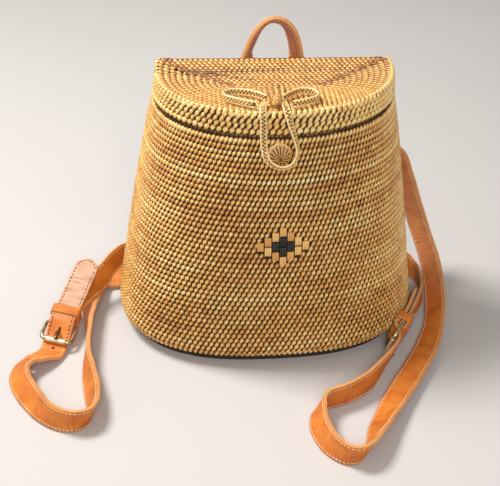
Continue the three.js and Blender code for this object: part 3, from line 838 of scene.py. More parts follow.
@dataclass(frozen=True)
class BasketForm:
    """The basket's outline at every height, the same rule that the solids follow."""

    lid_top: float = 245.0
    skirt_low: float = 224.0
    shoulder: float = 222.4
    neck_top: float = 240.0
    back_y: float = 75.0
    bottom_z: float = 8.0
    bottom_r: float = 11.3
    wall: float = 3.0
    neck_inset: float = 4.2
    corner_r: float = 12.0
    side_share: float = 0.185
    lean_x: float = 7.3
    skew: float = 0.05
    belly: float = 7.9
    depth_base: float = 136.6
    depth_lid: float = 115.3
    widths: tuple = ((0, 140), (19.3, 140), (67.1, 133.5), (138.7, 123.3), (196.8, 113.6), (223.7, 108.4),
                     (245, 106.9))
    roundness: float = 2.56
    roundness_loss: float = 0.46
    rise_from: float = 43.0
    rise_run: float = 30.0
    rise: float = 3.3
    rise_tilt: float = -0.02

    def swell(self, points: np.ndarray) -> np.ndarray:
        """How far the lid's back edge rises at points given by x and y."""
        t = np.clip((points[..., 1] - self.rise_from) / self.rise_run, 0, 1)
        return t * t * (3 - 2 * t) * (self.rise + self.rise_tilt * points[..., 0])

    def half_width(self, z: float) -> float:
        """Half width of the plan at a height."""
        t = self.widths
        if z <= t[0][0]:
            return t[0][1]
        for i in range(1, len(t)):
            if z > t[i][0]:
                continue
            a, b, c, d = t[max(0, i - 2)], t[i - 1], t[i], t[min(len(t) - 1, i + 1)]
            h = c[0] - b[0]
            u = (z - b[0]) / h
            m0 = (c[1] - a[1]) / (c[0] - a[0]) * h if i > 1 else 0.0
            m1 = (d[1] - b[1]) / (d[0] - b[0]) * h if i < len(t) - 1 else c[1] - b[1]
            return ((2 * u ** 3 - 3 * u * u + 1) * b[1] + (u ** 3 - 2 * u * u + u) * m0
                    + (-2 * u ** 3 + 3 * u * u) * c[1] + (u ** 3 - u * u) * m1)
        return t[-1][1]

    def depth(self, z: float) -> float:
        """Depth from the back panel to the front at a height."""
        t = min(1.0, z / self.skirt_low)
        return self.depth_base + (self.depth_lid - self.depth_base) * t + self.belly * 4 * t * (1 - t)

    def outline(self, z: float, inset: float = 0.0, back_inset: float | None = None,
                height: float | None = None) -> np.ndarray:
        """Fine closed outline, counter-clockwise from the middle of the front.

        Args:
            z: height whose plan is used.
            inset: how far inside it runs.
            back_inset: how far inside the back panel, if different.
            height: height at which it is placed, if different.

        Returns:
            Points, one row each.
        """
        back_inset = inset if back_inset is None else back_inset
        height = z if height is None else height
        w, d = self.half_width(z) - inset, self.depth(z) - inset
        n = self.roundness - self.roundness_loss * min(1.0, z / self.skirt_low)
        back, s = self.back_y - back_inset, self.side_share * self.depth(z)
        r = max(2.0, self.corner_r - inset)
        half, across = 180, 58
        a = np.linspace(math.pi, 0, 2 * half + 1)
        c, q = np.cos(a), np.abs(np.sin(a))
        front = np.stack([w * np.sign(c) * np.abs(c) ** (2 / n), self.back_y - s - (d - s) * q ** (2 / n)], 1)
        b = np.linspace(0, math.pi / 2, 13)
        right = np.stack([w - r + r * np.cos(b), back - r + r * np.sin(b)], 1)
        left = np.stack([-(w - r) - r * np.sin(b), back - r + r * np.cos(b)], 1)
        flat = np.stack([np.linspace(w - r, r - w, across + 2)[1:-1], np.full(across, back)], 1)
        loop = np.concatenate([front[half:], right, flat, left, front[:half]])
        x = loop[:, 0] + (height / self.lid_top) * (self.lean_x - self.skew * (self.back_y - loop[:, 1]))
        return np.stack([x, loop[:, 1], np.full(len(x), height)], 1)

    def profile(self, s: float) -> tuple[float, float, float]:
        """The wall's outer line from the underside up.

        Args:
            s: distance along it in millimetres.

        Returns:
            Height of the plan, inset and height of the point.
        """
        arc = self.bottom_r * math.pi / 2
        if s < arc:
            q = s / self.bottom_r
            return (self.bottom_z + self.bottom_r, self.bottom_r * (1 - math.sin(q)),
                    self.bottom_z + self.bottom_r * (1 - math.cos(q)))
        z = self.bottom_z + self.bottom_r + (s - arc)
        return z, 0.0, z

    def ring(self, s: float, count: int, shift: float = 0.0, lift: float = 0.0) -> tuple:
        """Even places on the wall with their directions.

        Args:
            s: distance along the wall's profile.
            count: how many places.
            shift: start as a share of one step.
            lift: how far outside the wall.

        Returns:
            Points, outward directions, directions round the ring and directions up the wall.
        """
        def at(value: float) -> np.ndarray:
            """Even points of the ring at one distance."""
            z, inset, height = self.profile(value)
            return evenly(self.outline(z, inset, None, height), count, shift)

        here, above = at(s), at(s + 0.4)
        around = unit(np.roll(here, -1, 0) - np.roll(here, 1, 0))
        out = unit(np.cross(around, above - here))
        up = unit(np.cross(out, around))
        return here + out * lift, out, around, up


def loft(rings: list[np.ndarray]) -> tuple[np.ndarray, list]:
    """Joins rings of equal length into a closed shape with a cap at each end.

    Args:
        rings: the rings, from the first to the last.

    Returns:
        The points and the faces.
    """
    n = len(rings[0])
    verts, faces = [p for ring in rings for p in ring], []
    for k in range(len(rings) - 1):
        for i in range(n):
            a, b = k * n + i, k * n + (i + 1) % n
            faces.append((a, b, b + n, a + n))
    for end, row in ((0, 0), (1, len(rings) - 1)):
        verts.append(np.mean(rings[row], axis=0))
        m = len(verts) - 1
        for i in range(n):
            a, b = row * n + i, row * n + (i + 1) % n
            faces.append((a, b, m) if end else (b, a, m))
    return np.array(verts), faces


def looped(count: int, sides: int) -> list:
    """Faces between rings that follow each other round and close on the first.

    Args:
        count: how many rings.
        sides: points of each.

    Returns:
        The faces.
    """
    faces = []
    for i in range(count):
        for k in range(sides):
            a, b = i * sides + k, i * sides + (k + 1) % sides
            c, d = (i + 1) % count * sides + k, (i + 1) % count * sides + (k + 1) % sides
            faces.append((a, b, d, c))
    return faces


def one_tone(verts: np.ndarray, faces: list, tone: float, root: float) -> MeshData:
    """Mesh data of straw in one tone.

    Args:
        verts: its points.
        faces: its faces.
        tone: its tone from 0 to 1.
        root: how much painted shade darkens it on top of that.

    Returns:
        The mesh data.
    """
    return MeshData(verts, faces, attrs={"tone": [tone] * len(verts), "root": [root] * len(verts)})


def cut_leather(verts: np.ndarray, faces: list, uvs: list, rim: list) -> MeshData:
    """Mesh data of a small leather piece.

    Args:
        verts: its points.
        faces: its faces.
        uvs: place along and across for each corner of each face, in metres.
        rim: how much each point belongs to the cut edge.

    Returns:
        The mesh data.
    """
    return MeshData(verts, faces, "run", uvs, {"rim": rim, "bleach": [0.0] * len(verts)}, crease=40)


def woven_shell(rings: list[np.ndarray], inside: list[float], stitches: float, rows: list[float]) -> MeshData:
    """A lofted shell whose weave UV counts stitches across and rows along.

    Args:
        rings: points of each ring.
        inside: how woven each ring's surface shows, from 0 to 1; where it is below 1 the core's painted shade
            shows.
        stitches: stitches round a ring.
        rows: row number of each ring.

    Returns:
        The mesh data with its weave UV and inside attribute.
    """
    verts, faces = loft(rings)
    n, last, cap_rows = len(rings[0]), len(rings) * len(rings[0]), 14
    uvs = []
    for face in faces:
        corner = []
        wrap = len(face) == 4 and face[0] % n == n - 1
        for v in face:
            if v >= last:
                corner.append((stitches * 0.5, rows[0 if v == last else -1] + cap_rows))
                continue
            turn = n if wrap and v % n == 0 else v % n
            corner.append((turn / n * stitches, rows[v // n]))
        uvs.append(corner)
    values = [value for value in inside for _ in range(n)] + [inside[0], inside[-1]]
    return MeshData(verts, faces, "weave", uvs, {"inside": values}, crease=50)


def joined(parts: list[MeshData]) -> MeshData:
    """Several mesh data of one kind as one.

    Args:
        parts: the parts, all with the same UV name and attributes.

    Returns:
        One mesh data.
    """
    verts, faces, uvs, base = [], [], [], 0
    attrs: dict = {key: [] for key in parts[0].attrs}
    for part in parts:
        verts.append(np.asarray(part.verts, float))
        faces += [tuple(v + base for v in face) for face in part.faces]
        uvs += part.uvs
        for key in attrs:
            attrs[key] += list(part.attrs[key])
        base += len(part.verts)
    return MeshData(np.vstack(verts), faces, parts[0].uv_name, uvs, attrs, parts[0].smooth, parts[0].crease)


@dataclass
class Motif:
    """The small stepped diamond of flat blocks in the middle of the front."""

    x: float = 3.4
    z: float = 125.3
    column: float = 6.6
    step: float = 4.6
    width: float = 5.7
    height: float = 8.5
    tan: tuple = ((0, -3), (0, 3), (-1, -2), (1, -2), (-1, 2), (1, 2), (-2, -1), (2, -1), (-2, 1), (2, 1),
                  (-3, 0), (3, 0))
    black: tuple = ((0, -1), (0, 1), (-1, 0), (1, 0))

    def centre(self, cell: tuple[int, int]) -> tuple[float, float]:
        """Place of a block across and up the wall."""
        return self.x + cell[0] * self.column, self.z + cell[1] * self.step

    def covers(self, x: float, z: float) -> bool:
        """Whether a stitch at that place would lie under a block."""
        return any(abs(x - cx) < self.column / 2 + 0.3 and abs(z - cz) < self.step + 0.1
                   for cx, cz in map(self.centre, self.tan + self.black))

    def block(self) -> MeshData:
        """One block: four flat strands side by side.

        Returns:
            The shape, its strands along X.
        """
        parts, strands, half = [], 4, self.height / 2
        for k in range(strands):
            one = strand([(-half, 0.55, -0.5), (-half + 0.7, 0.86, 0.1), (0, 0.88, 0.25),
                          (half - 1.1, 0.9, 0.45), (half - 0.1, 0.7, 0.0)], 0.75)
            one.verts = one.verts + np.array([0.12 * (-1) ** k, (k - 1.5) * self.width / strands, 0])
            parts.append(one)
        return joined(parts)


@dataclass
class BasketWeave:
    """The woven body: coiled core painted dark as the shade between the stitches, leaning stitches in rows,
    and the diamond.
    """

    form: BasketForm
    row_pitch: float = 4.86
    stitches: int = 146
    stitch_width: float = 4.4
    lean_deg: float = 62.0
    last_grow: float = 1.12
    last_tone: float = 0.16
    core_drop: float = 1.2
    core_sides: int = 220
    neck_wall: float = 2.2
    neck_back: float = 74.6
    neck_rows: int = 4
    seed: int = 11
    motif: Motif = field(default_factory=Motif)

    def core(self, palette: Palette) -> bpy.types.Object:
        """Builds the hollow core that stands for the body's plain solid.

        Args:
            palette: the finishes.

        Returns:
            The piece.
        """
        f, drop, rings, inside, rows = self.form, self.core_drop, [], [], []

        def ring(z: float, inset: float, back: float | None, height: float, woven: float, row: float) -> None:
            """Adds one ring of the shell."""
            rings.append(evenly(f.outline(z, inset, back, height), self.core_sides))
            inside.append(woven)
            rows.append(row)

        base = f.bottom_z + f.bottom_r
        # woven 0: the outside shows the core's painted shade between the stitches
        for a in (0, 15, 30, 45, 60, 75, 90):
            q = math.radians(a)
            ring(base, drop + f.bottom_r * (1 - math.sin(q)), None,
                 base - (f.bottom_r - drop) * math.cos(q), 0.0, a / 25)
        for z in np.linspace(28, f.shoulder - 1.0, 22):
            ring(z, drop, None, z, 0.0, z / self.row_pitch)
        outer, inner = f.neck_inset, f.neck_inset + self.neck_wall
        for z, inset, back in ((f.shoulder - 0.8, outer, drop), (f.neck_top, outer, drop),
                               (f.neck_top, inner, f.wall), (f.shoulder - 2, inner, f.wall)):
            ring(z, inset, back, z, 1.0, z / self.row_pitch)
        for z in np.linspace(f.shoulder - 8, 26, 20):
            ring(z, f.wall, None, z, 1.0, z / self.row_pitch)
        ring(base, f.wall + 3, None, 15, 1.0, 3)
        ring(base, f.wall + 9, None, 11, 1.0, 2)
        ring(base, f.wall + 40, None, 11, 1.0, -4)
        piece = woven_shell(rings, inside, self.stitches, rows).build("basket_core", palette.core)
        return settle(piece, Body.BASKET, "straw", "basket_body")

    def shape(self) -> MeshData:
        """One stitch: a strand that swells towards its upper end and dives under the next."""
        # shade 0.9 over 3 mm: strong painted shade at each stitch's root and underside
        return strand([(-3.1, 0.85, -0.6), (-0.9, 1.15, 0.15), (1.3, 1.8, 0.55), (2.9, 1.2, -0.3)],
                      shade=0.9, fade=3.0)

    def tones(self, rng: np.random.Generator, row: int, count: int) -> np.ndarray:
        """Tone of every stitch in a row: row by row, patch by patch and stitch by stitch.

        Args:
            rng: seeded random numbers.
            row: number of the row.
            count: stitches in it.

        Returns:
            One tone for each stitch.
        """
        u = np.arange(count) / count * 2 * math.pi
        patch = 0.07 * np.sin(3 * u + row * 0.21) + 0.05 * np.sin(7 * u - row * 0.37 + 1.3)
        swing = 0.1 * math.sin(row * 1.9) * math.sin(row * 0.53 + 0.7) + rng.normal(0, 0.06)
        brown = -0.17 * (rng.random() < 0.2) * np.clip(np.sin(2 * u + rng.random() * 6), 0, 1)
        return 0.6 + 0.6 * patch + 0.8 * swing + 0.5 * brown + rng.normal(0, 0.06, count)

    def stitch_rows(self, palette: Palette, repeater: Repeater) -> None:
        """Sets the stitches in three bands of rows, each a piece of its own.

        Args:
            palette: the finishes.
            repeater: the tool that sets shapes on spots.
        """
        rng = np.random.default_rng(self.seed)
        f, arc = self.form, self.form.bottom_r * math.pi / 2
        lean = math.radians(self.lean_deg)
        length = arc + (f.shoulder - f.bottom_z - f.bottom_r) - 2.0
        count = int(round(length / self.row_pitch))
        bands = {"weave_lower": Spots(), "weave_middle": Spots(), "weave_upper": Spots()}
        for k in range(count):
            s = (k + 0.5) * length / count
            points, out, around, up = f.ring(s, self.stitches, 0.5 * (k % 2), -0.25)
            wide = np.linalg.norm(points[1] - points[0]) / self.stitch_width
            tone = self.tones(rng, k, self.stitches)
            last = k == count - 1
            grow, lighter = (self.last_grow, self.last_tone) if last else (1.0, 0)
            u = np.arange(self.stitches) / self.stitches * 2 * math.pi
            wave = 0.5 * np.sin(2 * u + k * 0.13) + 0.35 * np.sin(5 * u + k * 0.31)
            band = list(bands.values())[min(2, k * 3 // count)]
            for i in range(self.stitches):
                p = points[i] if last else points[i] + up[i] * wave[i]
                if p[1] < 0 and self.motif.covers(p[0], p[2]):
                    continue
                along = around[i] * math.cos(lean) + up[i] * math.sin(lean)
                band.put(p, out[i], along, (grow, wide * grow, grow), tone[i] + lighter)
        along = np.array([-math.cos(lean), 0, math.sin(lean)])
        for z in np.linspace(f.shoulder + 2.2, f.neck_top - 2.8, self.neck_rows):
            for p in evenly(f.outline(z, f.neck_inset, 0), self.stitches):
                if p[1] > self.neck_back:
                    bands["weave_upper"].put(p + [0, -0.25, 0], (0, 1, 0), along, (1, 0.9, 1),
                                             rng.normal(0.55, 0.1))
        shape = self.shape()
        for n, (name, spots) in enumerate(bands.items()):
            piece = repeater.make(name, spots, shape, palette.straw, self.seed + n, 0.07, 0.09)
            settle(piece, Body.BASKET, "straw")

    def diamond(self, palette: Palette, repeater: Repeater) -> None:
        """Sets the tan and the black blocks of the diamond.

        Args:
            palette: the finishes.
            repeater: the tool that sets shapes on spots.
        """
        rng = np.random.default_rng(self.seed + 5)
        for name, cells, finish in (("diamond_tan", self.motif.tan, palette.straw),
                                    ("diamond_black", self.motif.black, palette.black)):
            spots = Spots()
            for cell in cells:
                x, z = self.motif.centre(cell)
                low, high = self.front(x, z - 1), self.front(x, z + 1)
                side = unit(self.front(x + 1, z) - self.front(x - 1, z))
                up = unit(high - low)
                out = unit(np.cross(side, up))
                spots.put(self.front(x, z) + out * 0.35, out, up, (1, 1, 1), rng.uniform(0.48, 0.76))
            piece = repeater.make(name, spots, self.motif.block(), finish, 3, 0.0, 0.02)
            settle(piece, Body.BASKET, "straw" if finish == palette.straw else "board")

    def front(self, x: float, z: float) -> np.ndarray:
        """Point of the front wall at a place across and a height."""
        loop = self.form.outline(z)
        half = loop[loop[:, 1] < 40]
        half = half[np.argsort(half[:, 0])]
        return np.array([x, np.interp(x, half[:, 0], half[:, 1]), z])

    def make(self, palette: Palette, repeater: Repeater) -> None:
        """Builds and dresses the whole body."""
        self.core(palette)
        self.stitch_rows(palette, repeater)
        self.diamond(palette, repeater)


@dataclass
class LidWeave:
    """The flap lid and its cane: plate and skirt, rows that follow the edge, mitred from the back corners."""

    form: BasketForm
    rows: int = 12
    pitch: float = 4.6
    core_stitch: tuple = (4.4, 4.86)
    front_lean: tuple = (-0.45, 0.88)
    front_span: tuple = (1.02, 1.14, 0.66)
    back_lean: tuple = (0.62, 0.78)
    back_span: tuple = (0.94, 1.14, 0.62)
    mitre_tone: float = -0.26
    skirt_pitch: float = 5.7
    skirt_rows: tuple = ((226.9, (1.0, 1.35, 1.2), 0.78), (231.6, (1.16, 1.0, 1.1), 0.74),
                         (236.4, (1.16, 1.0, 1.1), 0.76), (240.6, (1.05, 1.0, 1.0), 0.76))
    mitre_left: tuple = (-33.0, 18.0)
    mitre_right: tuple = (41.0, 14.0)
    cane_y: float = 72.8
    cane_z: float = 242.8
    cane_half: float = 92.0
    cane_r: float = 1.75
    wrap_pitch: float = 3.6
    notch_y: float = 69.9
    skirt_back: float = 61.6
    seed: int = 23

    def notched(self, loop: np.ndarray) -> np.ndarray:
        """An outline that leaves room for the cane along the back edge."""
        loop = loop.copy()
        held = np.abs(loop[:, 0] - self.form.lean_x) < self.cane_half + 1.2
        loop[held, 1] = np.minimum(loop[held, 1], self.notch_y)
        return loop

    def arc(self, loop: np.ndarray, back: float) -> np.ndarray:
        """The front and sides of an outline, from the left back end to the right."""
        count = len(loop)
        half = count // 2
        turned = np.roll(loop, count - half, axis=0)
        return turned[turned[:, 1] < back]

    def plate_core(self) -> MeshData:
        """The plate under the stitches, with its raised back edge."""
        f, top = self.form, self.form.lid_top
        rings = [self.notched(f.outline(top, inset, inset, height)) for inset, height in
                 ((2.0, top - 3.0), (1.2, top - 2.4), (1.2, top - 1.7), (3.2, top - 0.6), (16, top - 0.6),
                  (34, top - 0.6))]
        for ring in rings[1:]:
            ring[:, 2] += f.swell(ring)
        verts, faces = loft(rings)
        across, along = self.core_stitch
        uvs = [[(verts[v][0] / across, verts[v][1] / along) for v in face] for face in faces]
        # where inside is below 1 the core's painted shade for the holes between the stitches shows through
        inside = [1.0 if v[2] < top - 2.7 else 0.6 for v in verts]
        return MeshData(verts, faces, "weave", uvs, {"inside": inside}, crease=40)

    def skirt_core(self) -> MeshData:
        """The skirt under the stitches: a strip swept round the front and the sides."""
        f, top, count = self.form, self.form.lid_top, 140
        rail = []
        low, high = (f.skirt_low, f.skirt_low + 0.4), (top, top - 2.6)
        for inset, (plan, z) in ((1.0, low), (1.0, high), (2.6, high), (2.6, low)):
            line = self.arc(f.outline(plan, inset, inset, z), self.skirt_back)
            run = run_along(line)
            rail.append(points_at(line, run, np.linspace(0, run[-1], count)))
        verts, faces = loft([np.array([side[i] for side in rail]) for i in range(count)])
        caps, rows = 4 * count, (0.4, 4.0, 4.4, 8.0)
        uvs = [[(v // 4 * 0.6, rows[v % 4] if v < caps else 2.0) for v in face] for face in faces]
        # inside 0 on the outer faces: the core's painted shade between the stitches
        inside = [0.0 if v % 4 < 2 and v < caps else 1.0 for v in range(len(verts))]
        return MeshData(verts, faces, "weave", uvs, {"inside": inside}, crease=40)

    def spine(self, share: np.ndarray) -> np.ndarray:
        """Points between the two inner ends of the mitre lines."""
        a, b = np.array(self.mitre_left), np.array(self.mitre_right)
        return a + (b - a) * share[:, None]

    def place_row(self, spots: Spots, line: np.ndarray, shift: float, lean: tuple[float, float],
                  rng: np.random.Generator, tone: float, span: tuple,
                  inward: np.ndarray | None = None) -> None:
        """Sets one row of flat stitches on the plate.

        Args:
            spots: where the stitches are gathered.
            line: the row's fine line.
            shift: start as a share of the pitch.
            lean: share along the row and share away from the middle that give the stitch's direction.
            rng: seeded random numbers.
            tone: mean tone.
            span: the stitch's size shares.
            inward: point that the row's stitches turn their tails to, or none for the back rows.
        """
        run = run_along(line)
        count = max(1, int(run[-1] / self.pitch))
        for i in range(count):
            at = (i + shift) / count * run[-1]
            p = point_at(line, run, at, self.form.lid_top - 0.75)
            q = point_at(line, run, at + 0.5, p[2])
            along_row = unit(q - p) if np.linalg.norm(q - p) > 1e-6 else np.array([1.0, 0, 0])
            away = np.array([along_row[1], -along_row[0], 0]) if inward is None else unit(p - inward)
            direction = along_row * lean[0] + away * lean[1]
            slope = self.form.swell(p + [0, 1, 0]) - self.form.swell(p)
            p[2] += self.form.swell(p)
            mitre = self.mitre_tone if i in (0, count - 1) else 0.0
            spots.put(p, (0, -slope, 1), direction + [0, 0, slope * direction[1]], span,
                      tone + mitre + rng.normal(0, 0.045))

    def top(self, palette: Palette, repeater: Repeater) -> None:
        """Sets the stitches of the plate and of its edges.

        Args:
            palette: the finishes.
            repeater: the tool that sets shapes on spots.
        """
        f, rng, spots = self.form, np.random.default_rng(self.seed), Spots()
        edge_end, centre = 71.5, np.array([4.0, 16.0, f.lid_top])
        outer = self.arc(f.outline(f.lid_top, 1.6), edge_end)[:, :2]
        middle = self.spine(np.clip((outer[:, 0] + 52) / 112, 0, 1))
        left, right = outer[0], outer[-1]
        fine = 160
        back = np.stack([np.linspace(right[0] - 1.5, left[0] + 1.5, fine),
                         np.full(fine, self.notch_y - 1.6)], 1)
        behind = self.spine(np.clip((back[:, 0] - left[0]) / (right[0] - left[0]), 0, 1))
        for k in range(self.rows):
            t, shift = (k + 0.5) / self.rows, 0.25 + 0.5 * (k % 2)
            tone = 0.52 + 0.03 * math.sin(k * 2.3)
            self.place_row(spots, outer * (1 - t) + middle * t, shift, self.front_lean, rng, tone + 0.02,
                           self.front_span, centre)
            self.place_row(spots, back * (1 - t) + behind * t, shift, self.back_lean, rng, tone,
                           self.back_span)
        edge = self.arc(f.outline(f.lid_top, 0.6), edge_end)
        self.edge_row(spots, edge, f.lid_top - 1.4, 5.2, (1.0, 1.15, 0.95), 0.78, rng, 0.75)
        shape = strand([(-3.0, 0.9, -0.4), (-0.9, 1.3, 0.2), (1.3, 1.85, 0.45), (2.8, 1.2, -0.2)], 0.75)
        piece = repeater.make("lid_top_weave", spots, shape, palette.straw, 31, 0.07, 0.08)
        settle(piece, Body.FLAP, "straw")

    def edge_row(self, spots: Spots, line: np.ndarray, z: float, pitch: float, span: tuple, tone: float,
                 rng: np.random.Generator, rise: float = 0.0, shift: float = 0.0) -> None:
        """Sets one row of upright stitches round the skirt.

        Args:
            spots: where the stitches are gathered.
            line: the outline's front and sides.
            z: height of the row.
            pitch: distance between stitches.
            span: the stitch's size shares.
            tone: mean tone.
            rng: seeded random numbers.
            rise: how far the stitch faces upwards.
            shift: start as a share of the pitch.
        """
        run = run_along(line)
        count = int(run[-1] / pitch)
        for i in range(count):
            at = (i + 0.25 + shift) / count * run[-1]
            p, q = point_at(line, run, at, z), point_at(line, run, at + 0.8, z)
            around = unit(q - p) if np.linalg.norm(q - p) > 1e-6 else np.array([0, 1.0, 0])
            out = unit(np.array([around[1], -around[0], rise]))
            up = unit(np.cross(out, around))
            p[2] += self.form.swell(p) * min(1.0, max(0.0, (z - self.form.skirt_low - 10) / 8.6))
            spots.put(p - out * 0.2, out, around * 0.5 + up * 0.87, span, tone + rng.normal(0, 0.05))

    def skirt(self, palette: Palette, repeater: Repeater) -> None:
        """Sets the coarser stitches of the skirt and its thick rolled lower rim.

        Args:
            palette: the finishes.
            repeater: the tool that sets shapes on spots.
        """
        rng, spots = np.random.default_rng(self.seed + 1), Spots()
        for k, (z, span, tone) in enumerate(self.skirt_rows):
            line = self.arc(self.form.outline(z, 0.2), self.skirt_back - 0.5)
            self.edge_row(spots, line, z, self.skirt_pitch, span, tone, rng, 0.0, 0.5 * (k % 2))
        # shade 0.8 over 2.4 mm: painted shade at each stitch's root and underside
        shape = strand([(-3.1, 1.0, -0.5), (-0.9, 1.3, 0.2), (1.3, 1.95, 0.55), (2.8, 1.4, -0.2)],
                       0.78, 0.8, 2.4)
        piece = repeater.make("lid_skirt_weave", spots, shape, palette.straw, 37, 0.07, 0.07)
        settle(piece, Body.FLAP, "straw")

    def cane(self, palette: Palette, repeater: Repeater) -> None:
        """Builds the wrapped cane that the lid turns on.

        Args:
            palette: the finishes.
            repeater: the tool that sets shapes on spots.
        """
        x0, y0, z0, sides, turns = self.form.lean_x, self.cane_y, self.cane_z, 12, 7
        a = np.linspace(0, 2 * math.pi, sides + 1)[:-1]
        verts, faces = loft([np.stack([np.full(sides, x0 + x), y0 - self.cane_r * np.cos(a),
                                       z0 + self.cane_r * np.sin(a)], 1)
                             for x in np.linspace(-self.cane_half, self.cane_half, 30)])
        # dark, with painted shade, where the core shows between the wraps
        core = one_tone(verts, faces, 0.1, 0.3).build("cane_core", palette.straw)
        settle(core, Body.BASKET, "straw", "hinge_cane")
        spots, rng = Spots(), np.random.default_rng(self.seed + 2)
        for i in range(int((2 * self.cane_half - 4) / self.wrap_pitch)):
            tone = 0.6 + rng.normal(0, 0.1)
            for k in range(turns):
                a = 2 * math.pi * k / turns
                out = np.array([0, -math.cos(a), math.sin(a)])
                round_it = np.array([0, math.sin(a), math.cos(a)])
                p = np.array([x0 - self.cane_half + 2.2 + i * self.wrap_pitch + 0.3 * k, y0, z0]) + out * 1.7
                spots.put(p, out, round_it * 0.9 + np.array([0.42, 0, 0]), (0.42, 0.9, 0.42), tone)
        shape = strand([(-3.0, 1.3, -0.5), (-1.2, 1.7, 0.2), (1.2, 1.7, 0.2), (3.0, 1.3, -0.5)], 0.7)
        settle(repeater.make("cane_wrap", spots, shape, palette.straw, 41, 0.03, 0.05), Body.BASKET, "straw")

    def make(self, palette: Palette, repeater: Repeater) -> None:
        """Builds and dresses the whole lid."""
        core = joined([self.plate_core(), self.skirt_core()]).build("lid_core", palette.core)
        settle(core, Body.FLAP, "straw", "lid")
        self.top(palette, repeater)
        self.skirt(palette, repeater)
        self.cane(palette, repeater)


class Route:
    """A smooth line through stations, with a direction across at each: x, y, z, then the direction."""

    def __init__(self, stations: list) -> None:
        """Samples the line finely.

        Args:
            stations: rows of six numbers in millimetres.
        """
        s = np.array(stations, float)
        p, w, n = s[:, :3], unit(s[:, 3:]), len(s)
        ends = np.vstack([2 * p[0] - p[1], p, 2 * p[-1] - p[-2]])
        dense, tangent, across = [], [], []
        for i in range(n - 1):
            x0, x1, x2, x3 = ends[i:i + 4]
            d0, d1, d2 = (max(1e-4, np.sum((b - a) ** 2) ** 0.25) for a, b in ((x0, x1), (x1, x2), (x2, x3)))
            t1 = ((x1 - x0) / d0 - (x2 - x0) / (d0 + d1) + (x2 - x1) / d1) * d1
            t2 = ((x2 - x1) / d1 - (x3 - x1) / (d1 + d2) + (x3 - x2) / d2) * d1
            c2, c3 = -3 * x1 + 3 * x2 - 2 * t1 - t2, 2 * x1 - 2 * x2 + t1 + t2
            e = np.arange(24 + (i == n - 2))[:, None] / 24
            dense.append(x1 + t1 * e + c2 * e ** 2 + c3 * e ** 3)
            tangent.append(t1 + 2 * c2 * e + 3 * c3 * e ** 2)
            ease = e * e * (3 - 2 * e)
            across.append(w[i] * (1 - ease) + w[i + 1] * ease)
        self.points, self.tangents = np.vstack(dense), unit(np.vstack(tangent))
        self.across = np.vstack(across)
        self.run = run_along(self.points)
        self.length = self.run[-1]

    def at(self, run: np.ndarray) -> tuple[np.ndarray, np.ndarray, np.ndarray, np.ndarray]:
        """Places along the line.

        Args:
            run: distances from the start.

        Returns:
            Points, directions along, directions across and outward normals.
        """
        t, w = unit(points_at(self.tangents, self.run, run)), points_at(self.across, self.run, run)
        w = unit(w - t * np.sum(w * t, axis=1, keepdims=True))
        return points_at(self.points, self.run, run), t, w, np.cross(t, w)

    def spot(self, run: float) -> list[np.ndarray]:
        """Point, directions and normal at one distance."""
        return [values[0] for values in self.at(np.array([run]))]

    def marks(self, step: float, fine: float = 0.0, fine_step: float = 1.0) -> np.ndarray:
        """Evenly spaced distances, finer over the first stretch."""
        head = np.arange(0, fine, fine_step) if fine else np.array([])
        count = max(2, int((self.length - fine) / step))
        return np.concatenate([head, np.linspace(fine, self.length, count)])


def tube(points: np.ndarray, radius: float | list, side: np.ndarray, sides: int = 10, closed: bool = False,
         taper: float = 1.0) -> tuple[np.ndarray, list]:
    """A round tube along points.

    Args:
        points: the middle line.
        radius: its radius, one for all points or one for each.
        side: a steady direction, one for all points or one for each.
        sides: sides of the section.
        closed: whether the line closes on itself.
        taper: radius of the last ring as a share.

    Returns:
        Points and faces.
    """
    n = len(points)
    if closed:
        t = unit(np.roll(points, -1, 0) - np.roll(points, 1, 0))
    else:
        t = unit(np.gradient(points, axis=0))
    side, radii = np.broadcast_to(side, points.shape), np.broadcast_to(radius, (n,))
    u = unit(side - t * np.sum(side * t, axis=1, keepdims=True))
    v = np.cross(t, u)
    rings = []
    for i in range(n):
        r = radii[i] * (taper if i == n - 1 and not closed else 1.0)
        a = np.arange(sides) * 2 * math.pi / sides
        rings.append(points[i] + r * (np.cos(a)[:, None] * u[i] + np.sin(a)[:, None] * v[i]))
    return (np.vstack(rings), looped(n, sides)) if closed else loft(rings)


